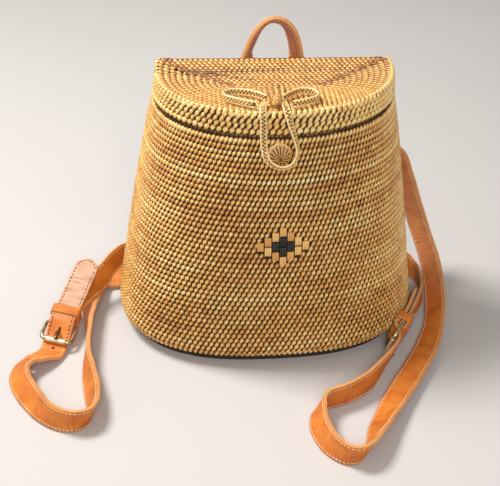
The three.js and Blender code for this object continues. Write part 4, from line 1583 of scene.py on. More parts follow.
@dataclass(frozen=True)
class StrapForm:
    """A flat leather strap: its section and how it is swept."""

    width: float
    thick: float
    edge: float

    def section(self) -> tuple[np.ndarray, np.ndarray, np.ndarray]:
        """Points of the section, with the rim mask and the share across for each."""
        w, h, e = self.width / 2, self.thick / 2, self.edge * 0.6
        face = [-w + e, -w + 2.2 * e, -w * 0.55, 0, w * 0.55, w - 2.2 * e, w - e]
        pillow = [-0.12, 0, 0, 0.05, 0, 0, -0.12]
        pts = [(a, -h - 0.6 * b) for a, b in zip(face, pillow)] + [(w, -h + e), (w, h - e)]
        pts += [(a, h + 0.6 * b) for a, b in zip(face[::-1], pillow)] + [(-w, h - e), (-w, -h + e)]
        rim = [0.35, 0, 0, 0, 0, 0, 0.35, 1, 1, 0.35, 0, 0, 0, 0, 0, 0.35, 1, 1]
        return np.array(pts), np.array(rim), np.array([p[0] for p in pts])

    def sweep(self, route: Route, marks: np.ndarray, tip: bool = False,
              bleach: Callable[[float], float] | None = None) -> MeshData:
        """Sweeps the strap along a route.

        Args:
            route: the route.
            marks: distances at which a section stands.
            tip: whether the far end is rounded.
            bleach: how pale the leather is at a distance, as a function; partly its own paler colour and
                partly painted light.

        Returns:
            The strap's mesh data.
        """
        pts, rim, across = self.section()
        if tip:
            half = self.width / 2
            marks = np.concatenate([marks[marks < route.length - half - 1],
                                    route.length - half * (1 - np.sin(np.linspace(0, math.pi / 2, 8)))])
        p, _, w, n = route.at(marks)
        rings = []
        for i, mark in enumerate(marks):
            rest, thin = route.length - mark, 1.0
            if tip and rest < self.width / 2:
                thin = max(0.12, math.sqrt(max(0.0, 1 - (1 - rest / (self.width / 2)) ** 2)))
            rings.append(p[i] + (pts[:, :1] * thin) * w[i] + pts[:, 1:] * n[i])
        verts, faces = loft(rings)
        m = len(pts)

        def uv(v: int) -> tuple[float, float]:
            """Run and place across of a point, in metres."""
            if v >= len(marks) * m:
                return (marks[0] if v == len(marks) * m else marks[-1]) * MM, 0.0
            return marks[v // m] * MM, across[v % m] * MM

        mask = list(np.tile(rim, len(marks))) + [1, 1]
        # paleness at each point: partly the leather's own colour, partly painted light
        pale = [float(bleach(marks[min(v // m, len(marks) - 1)])) if bleach else 0.0
                for v in range(len(verts))]
        return MeshData(verts, faces, "run", [[uv(v) for v in face] for face in faces],
                        {"rim": mask, "bleach": pale}, crease=40)

    def seam(self, spots: Spots, route: Route, start: float, end: float, pitch: float = 3.3,
             inset: float = 2.3) -> None:
        """Adds a line of stitches along both long edges of both faces.

        Args:
            spots: where the stitches are gathered.
            route: the strap's route.
            start: first distance.
            end: last distance.
            pitch: distance between stitches.
            inset: distance of the line from the edge.
        """
        across, above = self.width / 2 - inset, self.thick / 2 + 0.02
        for p, t, w, n in zip(*route.at(np.arange(start, end, pitch))):
            for face in (1, -1):
                for edge in (1, -1):
                    spots.put(p + w * edge * across + n * face * above, n * face, t)


@dataclass
class Closure:
    """The plaited loop and bows on the lid, the knot that binds them, and the fluted button."""

    width: float = 6.0
    cord_r: float = 0.85
    rung_pitch: float = 3.3
    button_x: float = 0.0
    button_z: float = 208.6
    button_r: float = 9.9
    button_h: float = 5.4
    knot: tuple = (-2.8, -27.0, 250.0)
    flutes: int = 14
    flute_deep: float = 1.15
    flute_low: float = 4.2
    bow_left: tuple = (
        (-9.5, -19.5, 249.2, 0, 0.2, 0.98), (-17.4, -11.5, 249.2, 0, 0.25, 0.97),
        (-27.1, -6, 249.2, 0, 0.3, 0.95), (-38.8, -4.5, 249.2, 0, 0.15, 1), (-45.2, -9, 249, 0, 0, 1),
        (-43, -16.8, 249, 0, 0.3, 0.95), (-33, -24.8, 249.2, 0, 0.45, 0.9),
        (-25.5, -29.4, 249.2, 0, 0.45, 0.9), (-20.2, -31.6, 249, 0, 0.4, 0.92))
    bow_right: tuple = (
        (5.2, -19.8, 249.2, 0, 0.2, 0.98), (12, -12.5, 249.2, 0, 0.25, 0.97),
        (21.5, -6.6, 249.2, 0, 0.3, 0.95), (30.5, -8.4, 249.2, 0, 0.15, 1), (35, -15.5, 249, 0, 0, 1),
        (31.5, -23.4, 249, 0, 0.3, 0.95), (22, -29.2, 249.2, 0, 0.45, 0.9),
        (12, -32.6, 249.2, 0, 0.45, 0.9))
    loop: tuple = (
        (-9.6, -24.2, 248.2, -0.8, 0.6, 0), (-13, -30, 248.4, -0.95, 0.3, 0), (-14.3, -37, 248.2, -1, 0, 0),
        (-14.6, -41.8, 245.4, -1, 0, 0), (-14.3, -43.4, 238, -1, 0, 0), (-14.2, -44.6, 226, -1, 0, 0),
        (-13.6, -47, 215, -0.97, 0.2, -0.15), (-11.2, -50.2, 206.5, -0.8, 0.4, -0.45),
        (-5, -52, 201.2, -0.42, 0.5, -0.75), (2.1, -52.4, 199.4, 0, 0.55, -0.83),
        (8.9, -51.8, 201.4, 0.4, 0.6, -0.7), (13.2, -50, 206.5, 0.55, 0.75, -0.35),
        (14.4, -48.2, 213, 0.4, 0.92, 0.05), (13.4, -46.9, 220, 0.5, 0.85, 0.2),
        (10.6, -46, 229, 0.6, 0.75, 0.2), (7.6, -44.6, 239, 0.8, 0.5, 0.2), (5.9, -42, 245.4, 1, 0.1, 0),
        (5, -37, 248.2, 1, 0.1, 0), (4.6, -31, 248.4, 1, 0, 0), (4.4, -25.5, 248.2, 1, 0, 0))

    def band(self, name: str, node: str, stations: tuple, palette: Palette, repeater: Repeater,
             seed: int) -> None:
        """Builds one plaited band: two edge cords, a dark middle strip of painted shade for the gaps in the
        plait, and slanted strands that meet in it.

        Args:
            name: the piece's name.
            node: the plain solid it stands for.
            stations: the route.
            palette: the finishes.
            repeater: the tool that sets shapes on spots.
            seed: seed of the small variations.
        """
        route = Route(list(stations))
        marks = np.linspace(0, route.length, int(route.length / 1.6))
        p, _, w, n = route.at(marks)
        reach, parts = self.width / 2 - self.cord_r + 0.1, []
        for edge in (1, -1):
            parts.append(one_tone(*tube(p + w * edge * reach, self.cord_r, w, 8), 0.84, 0.0))
        section = ((-2, -0.3), (2, -0.3), (2, 0.3), (-2, 0.3))
        rings = [np.array([p[i] + w[i] * a + n[i] * b for a, b in section]) for i in range(len(marks))]
        # the middle strip is painted shade: tone 0 and root 1 stand for the shaded gaps between the strands
        parts.append(one_tone(*loft(rings), 0.0, 1.0))
        settle(joined(parts).build(name, palette.pale_straw), Body.FLAP, "straw_light", node)
        spots, rng = Spots(), np.random.default_rng(seed)
        at = np.arange(1.5, route.length - 1, self.rung_pitch)
        p, t, w, n = route.at(at)
        for i in range(len(at)):
            for face in (1, -1):
                for side in (1, -1):
                    place = p[i] + w[i] * side * 1.1 + t[i] * side * self.rung_pitch / 4 + n[i] * face * 0.5
                    spots.put(place, n[i] * face, unit(t[i] * 0.72 - w[i] * 0.69 * side), (1, 1, 1),
                              0.62 + rng.normal(0, 0.08))
        shape = strand([(-1.7, 0.5, 0.0), (-0.6, 0.72, 0.3), (0.7, 0.72, 0.3), (1.7, 0.5, -0.1)])
        rungs = repeater.make(name + "_rungs", spots, shape, palette.pale_straw, seed, 0.04, 0.05)
        settle(rungs, Body.FLAP, "straw_light")

    def make_knot(self, palette: Palette, repeater: Repeater) -> None:
        """Builds the knot: a small wound bundle.

        Args:
            palette: the finishes.
            repeater: the tool that sets shapes on spots.
        """
        x, y, z = self.knot
        rings = []
        for h, r in ((-6.0, 1.8), (-4.8, 3.0), (-1.5, 3.6), (1.5, 3.6), (4.8, 3.0), (6.0, 1.8)):
            a = np.arange(14) * 2 * math.pi / 14
            rings.append(np.stack([x + r * np.cos(a), np.full(14, y + h), z - r * np.sin(a)], 1))
        # the core is painted shade where it shows between the wraps
        core = one_tone(*loft(rings), 0.0, 0.8).build("knot_core", palette.straw)
        settle(core, Body.FLAP, "straw", "closure_knot")
        spots, rng = Spots(), np.random.default_rng(5)
        for j, h in enumerate((-4.6, -2.3, 0.0, 2.3, 4.6)):
            r = 3.7 if abs(h) < 4 else 3.1
            for k in range(8):
                a = 2 * math.pi * (k + 0.5 * (j % 2)) / 8
                out = np.array([math.cos(a), 0, math.sin(a)])
                turn = np.array([-math.sin(a), 0.35, math.cos(a)])
                spots.put(np.array([x, y + h, z]) + out * (r - 0.5), out, turn, (0.56, 0.62, 0.7),
                          0.5 + rng.normal(0, 0.13))
        for dx in (-1.9, 0.0, 1.9):
            spots.put(np.array([x + dx, y - 5.9, z + 0.2]), (0, -1, 0.2), (0.35, 0, 1), (0.8, 0.6, 0.6),
                      0.45 + rng.normal(0, 0.1))
        shape = strand([(-3.0, 0.9, -0.4), (-1.0, 1.6, 0.3), (1.2, 1.8, 0.4), (3.0, 1.1, -0.4)])
        settle(repeater.make("knot_wraps", spots, shape, palette.straw, 51, 0.1, 0.15), Body.FLAP, "straw")

    def make_button(self, palette: Palette, form: BasketForm) -> None:
        """Builds the button: a dome of bound straw whose flutes meet low in the middle, with painted shade in
        the flutes and at the middle.

        Args:
            palette: the finishes.
            form: the basket it sits on.
        """
        y = form.back_y - form.depth(self.button_z)
        slope = (form.depth(self.button_z + 5) - form.depth(self.button_z - 5)) / 10
        out = unit([0, -1.0, -slope])
        side = np.array([1.0, 0, 0])
        up = -unit(np.cross(side, out))
        origin = np.array([self.button_x, y, self.button_z]) + out * 0.35
        around, rings, tone, root = self.flutes * 8, [], [], []
        a = np.arange(around) * 2 * math.pi / around
        steps = [(0.9, 0.0), (1.0, 0.1), (1.02, 0.22), (0.97, 0.42), (0.88, 0.6), (0.76, 0.74), (0.62, 0.86),
                 (0.46, 0.94), (0.3, 0.98), (0.17, 0.97), (0.09, 0.88)]
        for r, h in steps:
            deep = np.clip((0.92 - r) / 0.12, 0, 1) * np.clip((r - 0.06) / 0.08, 0, 1)
            wave = (0.5 - 0.5 * np.cos(a * self.flutes)) ** 1.7
            low = (1 - r) * self.flute_low
            radius = r * self.button_r
            lift = h * self.button_h - self.flute_deep * deep * wave * (h > 0.5)
            ring = (origin + radius * np.cos(a)[:, None] * side + (radius * np.sin(a) - low)[:, None] * up
                    + lift[:, None] * out)
            rings.append(ring[::-1])
            # the flutes' grooves are painted darker as shade, in tone and in root
            tone += list((0.84 - 0.24 * float(r < 0.92) - 0.5 * deep * wave)[::-1])
            root += list((0.95 * deep * wave + (0.9 if r < 0.12 else 0.0))[::-1])
        verts, faces = loft(rings)
        # the middle where the flutes meet is painted shade
        data = MeshData(verts, faces, attrs={"tone": tone + [0.3, 0.0], "root": root + [0.0, 1.0]})
        piece = data.build("button_fluted", palette.straw)
        settle(piece, Body.BASKET, "straw_light", "button")

    def make(self, palette: Palette, repeater: Repeater, form: BasketForm) -> None:
        """Builds and dresses loop, bows, knot and button."""
        self.band("bow_left_band", "bow_left", self.bow_left, palette, repeater, 61)
        self.band("bow_right_band", "bow_right", self.bow_right, palette, repeater, 62)
        self.band("loop_band", "closure_loop", self.loop, palette, repeater, 63)
        self.make_knot(palette, repeater)
        self.make_button(palette, form)


@dataclass
class CarryHandle:
    """The leather carrying handle behind the lid, its patch on the back panel."""

    form: StrapForm = field(default_factory=lambda: StrapForm(20.0, 3.8, 1.1))
    route: tuple = (
        (-14.5, 79.7, 195, 1, 0, 0), (-14.5, 79.7, 208, 1, 0, 0), (-14.6, 80.4, 218, 0.97, 0.2, 0),
        (-15.2, 84.6, 231, 0.78, 0.62, 0), (-15.5, 88.7, 244, 0.46, 0.89, 0),
        (-12.7, 88.9, 252, 0.42, 0.89, -0.15), (-9.4, 88.7, 260.5, 0.36, 0.87, -0.3),
        (-4.6, 88.6, 268.7, 0.22, 0.86, -0.42), (1.3, 88.6, 274.6, 0.1, 0.86, -0.48),
        (8.8, 88.6, 277, 0, 0.86, -0.5), (17.4, 88.6, 274.2, -0.1, 0.86, -0.48),
        (23.3, 88.6, 267.5, -0.22, 0.86, -0.42), (26.8, 88.7, 259, -0.36, 0.87, -0.3),
        (28.8, 88.9, 250.7, -0.42, 0.89, -0.15), (30.2, 88.7, 242.4, -0.46, 0.89, 0),
        (30.4, 84.6, 231, -0.78, 0.62, 0), (30.5, 80.4, 218, -0.97, 0.2, 0), (30.5, 79.7, 208, -1, 0, 0),
        (30.5, 79.7, 195, -1, 0, 0))
    patch_x: float = 8.0
    patch_half: float = 47.0
    patch_low: float = 156.0
    patch_high: float = 209.0
    patch_y: float = 75.3
    patch_thick: float = 2.0
    patch_corner: float = 9.0

    def patch_ring(self, inset: float, y: float, count: int = 120) -> np.ndarray:
        """Even points round the patch's rounded outline, clockwise from behind."""
        r = max(1.0, self.patch_corner - inset)
        x0, x1 = self.patch_x - self.patch_half + inset + r, self.patch_x + self.patch_half - inset - r
        z0, z1 = self.patch_low + inset + r, self.patch_high - inset - r
        corners = ((x1, z0, -90, r), (x1, z1, 0, r), (x0, z1, 90, r), (x0, z0, 180, r))
        return evenly(np.array([(x, y, z) for x, z, _ in arcs(corners, 8)]), count)

    def make(self, palette: Palette, threads: Spots) -> None:
        """Builds handle and patch and adds their seams.

        Args:
            palette: the finishes.
            threads: where the light stitches are gathered.
        """
        route = Route(list(self.route))
        data = self.form.sweep(route, route.marks(2.2))
        settle(data.build("carry_handle", palette.handle), Body.BASKET, "leather", "top_handle")
        self.form.seam(threads, route, 14, route.length - 14, 3.3, 2.4)
        y, t = self.patch_y, self.patch_thick
        steps = ((0, y + 0.2), (0, y + t - 0.7), (0.6, y + t), (6, y + t + 0.05))
        rings = [self.patch_ring(inset, h) for inset, h in steps]
        verts, faces = loft([ring[::-1] for ring in rings])
        around = len(rings[0])
        rim = [1.0] * 2 * around + [0.6] * around + [0.0] * (len(verts) - 3 * around)
        uvs = [[(verts[v][0] * MM, verts[v][2] * MM) for v in face] for face in faces]
        patch = cut_leather(verts, faces, uvs, rim).build("patch_leather", palette.leather)
        settle(patch, Body.BASKET, "leather", "back_patch")
        ring = self.patch_ring(3.2, y + t + 0.02, 80)
        for p, following in zip(ring, np.roll(ring, -1, 0)):
            threads.put(p, (0, 1, 0), unit(following - p))


class Seat:
    """Place of a buckle: origin between its bars, along towards the free tip, up towards the shown side."""

    def __init__(self, origin: tuple, along: tuple, up: tuple) -> None:
        """Makes the three directions square to each other.

        Args:
            origin: the origin in millimetres.
            along: direction towards the free tip.
            up: direction towards the shown side.
        """
        self.o, self.a = np.array(origin, float), unit(along)
        self.n = unit(np.array(up, float) - self.a * np.dot(up, self.a))
        self.c = np.cross(self.n, self.a)

    def at(self, u: float, v: float, w: float) -> np.ndarray:
        """Point at buckle coordinates."""
        return self.o + self.a * u + self.c * v + self.n * w

    def row(self, u: float, w: float) -> list:
        """A route station at buckle coordinates."""
        return [*self.at(u, 0, w), *self.c]


@dataclass
class Buckled:
    """One shoulder strap: long strap through the buckle, short strap folded round its bar, buckle, keeper."""

    side: Side
    seat: Seat
    long_route: tuple
    tail: tuple
    short_route: tuple
    strap: StrapForm = field(default_factory=lambda: StrapForm(23.0, 3.6, 1.0))
    short: StrapForm = field(default_factory=lambda: StrapForm(23.0, 2.4, 0.7))
    outer: float = -13.0
    hinge: float = 9.0
    half: float = 14.6
    corner: float = 5.5
    tight: float = 2.0
    wire: float = 1.4
    side_wire: float = 1.9
    roller: float = 2.7
    reach: float = 9.6
    fold: float = 2.95
    spare_holes: tuple = (107.0, 140.0)
    hole_r: float = 1.6
    passage: tuple = (-7, 0, 6)
    passage_r: float = 1.35
    buckle_back: float = 102.0
    # paleness: the tail partly the leather's own paler colour and partly painted light; the upper run painted
    # light
    pale_from: float = 78.0
    pale_tail: float = 0.3
    painted_light_upper: float = 0.35
    tongue_fold: float = 2.65
    tongue_r: float = 0.92
    tongue_flat: float = 1.25
    tongue: tuple = ((4, 2.7), (0, 2.72), (-2.5, 2.75), (-5.2, 3.4), (-8, 4.15), (-11, 4.2), (-14, 4.15),
                     (-14.8, 4.1))
    keeper_half: float = 12.1
    keeper_low: float = -3.5
    keeper_high: float = 8.3
    keeper_corner: float = 1.3
    keeper_thick: float = 1.7
    keeper_snug: float = 0.97
    keeper_profile: tuple = ((14.5, 0.0, 1), (24.5, 0.0, 1), (24.5, 0.75, 1), (24.2, 1.0, 0.6),
                             (23.4, 1.03, 0), (19.5, 1.06, 0), (15.6, 1.03, 0), (14.8, 1.0, 0.6),
                             (14.5, 0.75, 1))

    def long_line(self) -> Route:
        """Route of the long strap from the back panel to its tip."""
        s = self.seat
        through = [s.row(u, w) for u, w in ((-24, -5.2), (-18, -5.1), (-13, -4.95), (-9.5, -4.4), (-4, -2),
                                            (2, 2.4), (8, 6.9), (14, 6.1), (20, 5.1), (28, 5.2))]
        tail = [[*s.at(*spot), *s.c] for spot in self.tail]
        return Route(list(self.long_route) + through + tail)

    def short_line(self) -> Route:
        """Route of the short strap: its turned end, the fold round the bar, then away to the back panel."""
        s, bar = self.seat, self.hinge
        bend = [(bar + self.fold * math.cos(math.radians(d)), self.fold * math.sin(math.radians(d)))
                for d in (-105, -130, -155, -180, -205, -230, -255)]
        fold = [(31, -1.65), (22, -1.6), (16, -1.8), (bar + 1.6, -2.8), *bend, (bar + 1.6, 2.8), (16, 1.6),
                (22, 1.35), (30, 1.3)]
        return Route([s.row(u, w) for u, w in fold] + list(self.short_route))

    def box(self, low: tuple, high: tuple) -> tuple[np.ndarray, list]:
        """A cutting box in buckle coordinates."""
        corners = [self.seat.at(u, v, w) for w in (low[2], high[2]) for u, v in
                   ((low[0], low[1]), (high[0], low[1]), (high[0], high[1]), (low[0], high[1]))]
        return np.array(corners), [(0, 3, 2, 1), (4, 5, 6, 7), (0, 1, 5, 4), (1, 2, 6, 5), (2, 3, 7, 6),
                                   (3, 0, 4, 7)]

    def cut(self, piece: bpy.types.Object, cutters: list[tuple[np.ndarray, list]]) -> bpy.types.Object:
        """Cuts openings through a strap.

        Args:
            piece: the strap.
            cutters: closed shapes to take away.

        Returns:
            The same piece.
        """
        made = []
        for k, (verts, faces) in enumerate(cutters):
            tool = MeshData(verts, faces, smooth=False).build(f"{piece.name}_cut{k}", piece.data.materials[0])
            modifier = piece.modifiers.new("cut", "BOOLEAN")
            modifier.object, modifier.operation, modifier.solver = tool, "DIFFERENCE", "EXACT"
            made.append(tool)
        fold_modifiers(piece)
        for tool in made:
            bpy.data.objects.remove(tool)
        piece.data.shade_smooth()
        piece.data.set_sharp_from_angle(angle=math.radians(40))
        return piece

    def hole(self, route: Route, at: float) -> tuple[np.ndarray, list]:
        """A round cutter through the strap at a distance along it."""
        p, _, w, n = route.spot(at)
        return tube(np.array([p - n * 4, p + n * 4]), self.hole_r, w, 14)

    def paleness(self, run: float, length: float) -> float:
        """How pale the long strap is at a place: paler towards its tail, partly the leather's own colour and
        partly painted light, and paler along its upper run as painted light.

        Args:
            run: distance from the back panel.
            length: the strap's length.

        Returns:
            A share from 0 to 1.
        """
        tail = min(1.0, max(0.0, (run - (length - self.pale_from)) / 14)) * self.pale_tail
        # painted light along the upper run
        upper = self.painted_light_upper * math.exp(-((run - 190) / 90) ** 2)
        return max(tail, upper)

    def long_strap(self, palette: Palette, light: Spots, brown: Spots) -> None:
        """Builds the long strap with its holes and seams.

        Args:
            palette: the finishes.
            light: where the light stitches are gathered.
            brown: where the dark stitches of the tail are gathered.
        """
        name, line = self.side.value, self.long_line()
        data = self.strap.sweep(line, line.marks(2.6), True, lambda run: self.paleness(run, line.length))
        piece = data.build(f"strap_{name}", palette.leather)
        through = np.array([self.seat.at(u, 0, 2.75) for u in self.passage])
        cutters = [tube(through, self.passage_r, self.seat.c, 14)]
        cutters += [self.hole(line, line.length - distance) for distance in self.spare_holes]
        settle(self.cut(piece, cutters), Body.BASKET, "leather", f"long_strap_{name}")
        buckle_at = line.length - self.buckle_back
        self.strap.seam(light, line, 16, buckle_at - 6)
        self.strap.seam(brown, line, buckle_at + 10, line.length - 11, 3.9, 2.4)
        self.tip_seam(brown, line)

    def short_strap(self, palette: Palette, light: Spots) -> None:
        """Builds the short strap with the slot for the tongue and its seams.

        Args:
            palette: the finishes.
            light: where the light stitches are gathered.
        """
        name, line = self.side.value, self.short_line()
        piece = self.short.sweep(line, line.marks(2.6, 48, 0.9)).build(f"short_{name}", palette.leather)
        slot = self.box((1, -2, -6), (13, 2, 6))
        settle(self.cut(piece, [slot]), Body.BASKET, "leather", f"short_strap_{name}")
        self.short.seam(light, line, 62, line.length - 8)

    def tip_seam(self, spots: Spots, line: Route) -> None:
        """Carries the tail's seam round its rounded tip."""
        centre = line.length - self.strap.width / 2
        p, t, w, n = line.spot(centre)
        r = self.strap.width / 2 - 2.4
        for i in range(1, 8):
            q = math.pi * i / 8
            out, turn = w * math.cos(q) + t * math.sin(q), -w * math.sin(q) + t * math.cos(q)
            for face in (1, -1):
                spots.put(p + out * r + n * face * (self.strap.thick / 2 + 0.02), n * face, turn)

    def frame_and_roller(self, palette: Palette) -> None:
        """Builds the buckle's frame, with heavier sides and outer bar, and the roller on that bar.

        Args:
            palette: the finishes.
        """
        s, name, steps = self.seat, self.side.value, 6
        near, far = self.hinge - self.tight, self.outer + self.corner
        small, large = self.half - self.tight, self.half - self.corner
        corners = ((near, small, 0, self.tight), (far, large, 90, self.corner),
                   (far, -large, 180, self.corner), (near, -small, 270, self.tight))
        ring = [s.at(u, v, 0) for u, v, _ in arcs(corners, steps)]
        quarter = steps + 1
        radii = [self.side_wire if quarter <= i < 3 * quarter else self.wire for i in range(len(ring))]
        frame = MeshData(*tube(np.array(ring), radii, s.n, 14, True)).build(f"frame_{name}", palette.metal)
        settle(frame, Body.BASKET, "brass", f"buckle_frame_{name}")
        ends = ((-self.reach, 0.8), (-self.reach + 0.5, 1.0), (0, 1.0), (self.reach - 0.5, 1.0),
                (self.reach, 0.8))
        bar = tube(np.array([s.at(self.outer, v, 0) for v, _ in ends]),
                   [self.roller * share for _, share in ends], s.n, 20)
        settle(MeshData(*bar, crease=40).build(f"roller_{name}", palette.roller), Body.BASKET, "brass")

    def prong(self, palette: Palette) -> None:
        """Builds the tongue: bent round the inner bar, flattened towards its tip.

        Args:
            palette: the finishes.
        """
        s, bend = self.seat, self.tongue_fold
        line = [(self.hinge + bend * math.cos(math.radians(d)), bend * math.sin(math.radians(d)))
                for d in range(-170, 91, 13)]
        line += self.tongue
        verts, faces = tube(np.array([s.at(u, 0, w) for u, w in line]), self.tongue_r, s.c, 14, taper=0.7)
        share = np.clip((-1.5 - (verts - s.o) @ s.a) / 4, 0, 1)
        spread = self.tongue_flat * share * share * (3 - 2 * share) * ((verts - s.o) @ s.c)
        name, data = self.side.value, MeshData(verts + spread[:, None] * s.c, faces)
        settle(data.build(f"tongue_{name}", palette.bronze), Body.BASKET, "brass", f"prong_{name}")

    def keeper(self, palette: Palette) -> None:
        """Builds the leather loop that holds the tail down.

        Args:
            palette: the finishes.
        """
        r = self.keeper_corner
        side, low, high = self.keeper_half - r, self.keeper_low + r, self.keeper_high - r
        inner = arcs(((side, high, 0, r), (-side, high, 90, r), (-side, low, 180, r), (side, low, 270, r)), 6)
        verts, rim = [], []
        for v, w, q in inner:
            for u, share, mask in self.keeper_profile:
                d = self.keeper_thick * share * self.keeper_snug
                verts.append(self.seat.at(u, v + d * math.cos(q), w + d * math.sin(q)))
                rim.append(mask * 0.5)
        faces = looped(len(inner), len(self.keeper_profile))
        uvs = [[(verts[v][2] * MM, verts[v][0] * MM) for v in face] for face in faces]
        name, data = self.side.value, cut_leather(np.array(verts), faces, uvs, rim)
        settle(data.build(f"loop_{name}", palette.leather), Body.BASKET, "leather", f"keeper_{name}")

    def make(self, palette: Palette, light: Spots, brown: Spots) -> None:
        """Builds and dresses the whole strap.

        Args:
            palette: the finishes.
            light: where the light stitches are gathered.
            brown: where the dark stitches of the tail are gathered.
        """
        self.long_strap(palette, light, brown)
        self.short_strap(palette, light)
        self.frame_and_roller(palette)
        self.prong(palette)
        self.keeper(palette)


LEFT_STRAP = Buckled(
    Side.LEFT, Seat((-198.1, -10.4, 13.5), (8.7, 28.9, 5), (0.1, -0.1, 1)),
    ((-4, 79.6, 173, -0.88, 0, 0.48), (-12, 80.2, 157, -0.88, 0, 0.48), (-27, 98, 112, -0.8, 0.3, 0.5),
     (-48, 128, 66, -0.6, 0.6, 0.5), (-82, 136, 27, -0.4, 0.75, 0.5), (-112, 118, 13, -0.25, 0.85, 0.45),
     (-131, 95, 8.5, -0.2, 0.9, 0.4), (-144, 86.5, 7.5, -0.1, 0.9, 0.42), (-156.3, 84, 8, -0.2, 0.9, 0.3),
     (-165.2, 73, 9.5, -0.44, 0.89, 0.05), (-169, 49.2, 9.5, -0.47, 0.86, -0.25),
     (-170.4, 20.4, 10.5, -0.31, 0.71, -0.63), (-170.6, -6.6, 11.6, -0.18, 0.33, -0.93),
     (-171.4, -31.4, 12.1, -0.11, 0.13, -0.99), (-172.4, -51.2, 12.1, -0.23, 0.12, -0.96),
     (-170.2, -75.5, 11.6, -0.46, 0.16, -0.87), (-167.3, -95.8, 11, -0.55, 0.2, -0.8),
     (-165.9, -117.3, 11.3, -0.46, 0.15, -0.86), (-168.6, -134.2, 12, -0.24, 0.12, -0.96),
     (-179.4, -140.3, 12.2, -0.17, 0.08, -0.98), (-191.6, -138, 12.2, -0.21, 0.02, -0.98),
     (-203.7, -128.9, 12, -0.36, 0.03, -0.93), (-215.5, -111.2, 11, -0.6, 0.02, -0.8),
     (-224.5, -93.5, 10.2, -0.72, 0.08, -0.69), (-230.5, -77.3, 9.6, -0.77, 0.09, -0.63),
     (-231.5, -63, 9.6, -0.78, 0.18, -0.6), (-226.5, -52.5, 9.8, -0.8, 0.35, -0.48),
     (-218, -44.5, 8.4, -0.88, 0.4, -0.2)),
    ((42, -1, 7), (56, -2, 11.2), (70, -3.2, 15.2), (82, -4, 18.6)),
    ((-181.5, 28, 21.4, -0.88, 0.1, 0.05), (-171.2, 42.5, 24.2, -0.84, 0, 0.3),
     (-161, 54, 27, -0.7, -0.27, 0.5), (-151.8, 63.6, 34.2, -0.48, -0.38, 0.76),
     (-143.3, 73, 38.8, -0.39, -0.3, 0.87), (-134, 79, 41.6, -0.31, -0.17, 0.94),
     (-117, 77.4, 44, -0.1, 0, 1), (-96, 77, 44, 0, 0, 1)),
    pale_tail=0.95, painted_light_upper=0.0)

RIGHT_STRAP = Buckled(
    Side.RIGHT, Seat((112.3, -50.4, 16.3), (36, 55, 0), (-0.84, 0.55, 0.3)),
    ((22, 79.6, 175, -0.5, 0, -0.87), (38, 80.2, 167, -0.5, 0, -0.87), (70, 84, 157, -0.4, 0.1, -0.9),
     (105, 90, 147, -0.43, 0.3, -0.85), (130.7, 92, 133.9, -0.46, 0.43, -0.78),
     (141.4, 92, 110.1, -0.53, 0.46, -0.72), (152.7, 90, 78.9, -0.56, 0.57, -0.6),
     (162.6, 84, 49.9, -0.61, 0.56, -0.56), (168.6, 70, 32, -0.62, 0.58, -0.53),
     (169.2, 47.3, 22, -0.58, 0.65, -0.5), (165.4, 16.1, 15, -0.53, 0.69, -0.49),
     (157.8, -16, 11.6, -0.51, 0.7, -0.5), (144.4, -49.6, 8.4, -0.56, 0.79, -0.24),
     (129.2, -76.7, 7.2, -0.58, 0.8, -0.15), (112.4, -103.5, 6.8, -0.57, 0.82, -0.12),
     (96.8, -128.7, 7.4, -0.58, 0.78, -0.25), (79.7, -158.8, 9.2, -0.46, 0.74, -0.5),
     (65.8, -186.7, 11.3, -0.33, 0.49, -0.81), (55.2, -200.9, 12.1, -0.19, 0.22, -0.96),
     (44.7, -201.3, 12.1, -0.23, 0.22, -0.95), (34.3, -191.1, 11.8, -0.35, 0.25, -0.9),
     (27.8, -174.2, 10.8, -0.5, 0.34, -0.8), (25.5, -157, 10.4, -0.52, 0.42, -0.74),
     (26.9, -143.2, 11, -0.44, 0.38, -0.81), (31.2, -133.9, 12, -0.23, 0.23, -0.95),
     (38.4, -128.6, 12.2, -0.07, 0.1, -0.99), (47.5, -125.5, 12.2, -0.02, 0.04, -1),
     (57.3, -121.4, 12.3, 0.01, 0.04, -1), (67.8, -115.1, 12.6, 0.03, 0.03, -1),
     (79, -106.4, 13.4, 0.03, 0.03, -1)),
    ((40, 0, 6.2), (52, 0, 7.9), (64, 0, 9.8), (76, 0, 11.2)),
    ((152.4, 20.8, 14.4, 0.03, -0.06, -1), (157, 45.3, 12.6, 0.05, -0.07, -1),
     (156.8, 62, 12.4, 0.02, -0.09, -1), (151, 76.5, 14.4, 0.02, -0.05, -1),
     (139, 79.6, 20, -0.2, 0, -0.98), (121, 77.2, 30, -0.4, 0, -0.92), (102, 77, 40, -0.46, 0, -0.89)))


@dataclass
class Rivets:
    """Plain domed rivets through the fixed leather ends."""

    radius: float = 4.4
    height: float = 2.0
    profile: tuple = ((0.94, 0.02), (1.0, 0.15), (0.99, 0.34), (0.9, 0.42), (0.84, 0.5), (0.7, 0.76),
                      (0.45, 0.93), (0.15, 1))
    spots: tuple = ((-14.5, 82, 201), (30.5, 82, 201), (-7.5, 82.1, 165.5), (29, 82.1, 171), (-103, 78.6, 44),
                    (109, 78.6, 36.4))
    nodes: tuple = ("rivet_handle_left", "rivet_handle_right", "rivet_long_left", "rivet_long_right",
                    "rivet_short_left", "rivet_short_right")

    def make(self, palette: Palette, repeater: Repeater) -> None:
        """Sets one dome with a rolled rim on each place.

        Args:
            palette: the finishes.
            repeater: the tool that sets shapes on spots.
        """
        r, h, sides = self.radius, self.height, 24
        a = np.arange(sides) * 2 * math.pi / sides
        dome = MeshData(*loft([np.stack([q * r * np.cos(a), q * r * np.sin(a), np.full(sides, z * h)], 1)
                               for q, z in self.profile]))
        spots = Spots()
        for p in self.spots:
            spots.put(np.array(p, float), (0, 1, 0), (1, 0, 0))
        settle(repeater.make("rivets", spots, dome, palette.metal), Body.BASKET, "brass", *self.nodes)


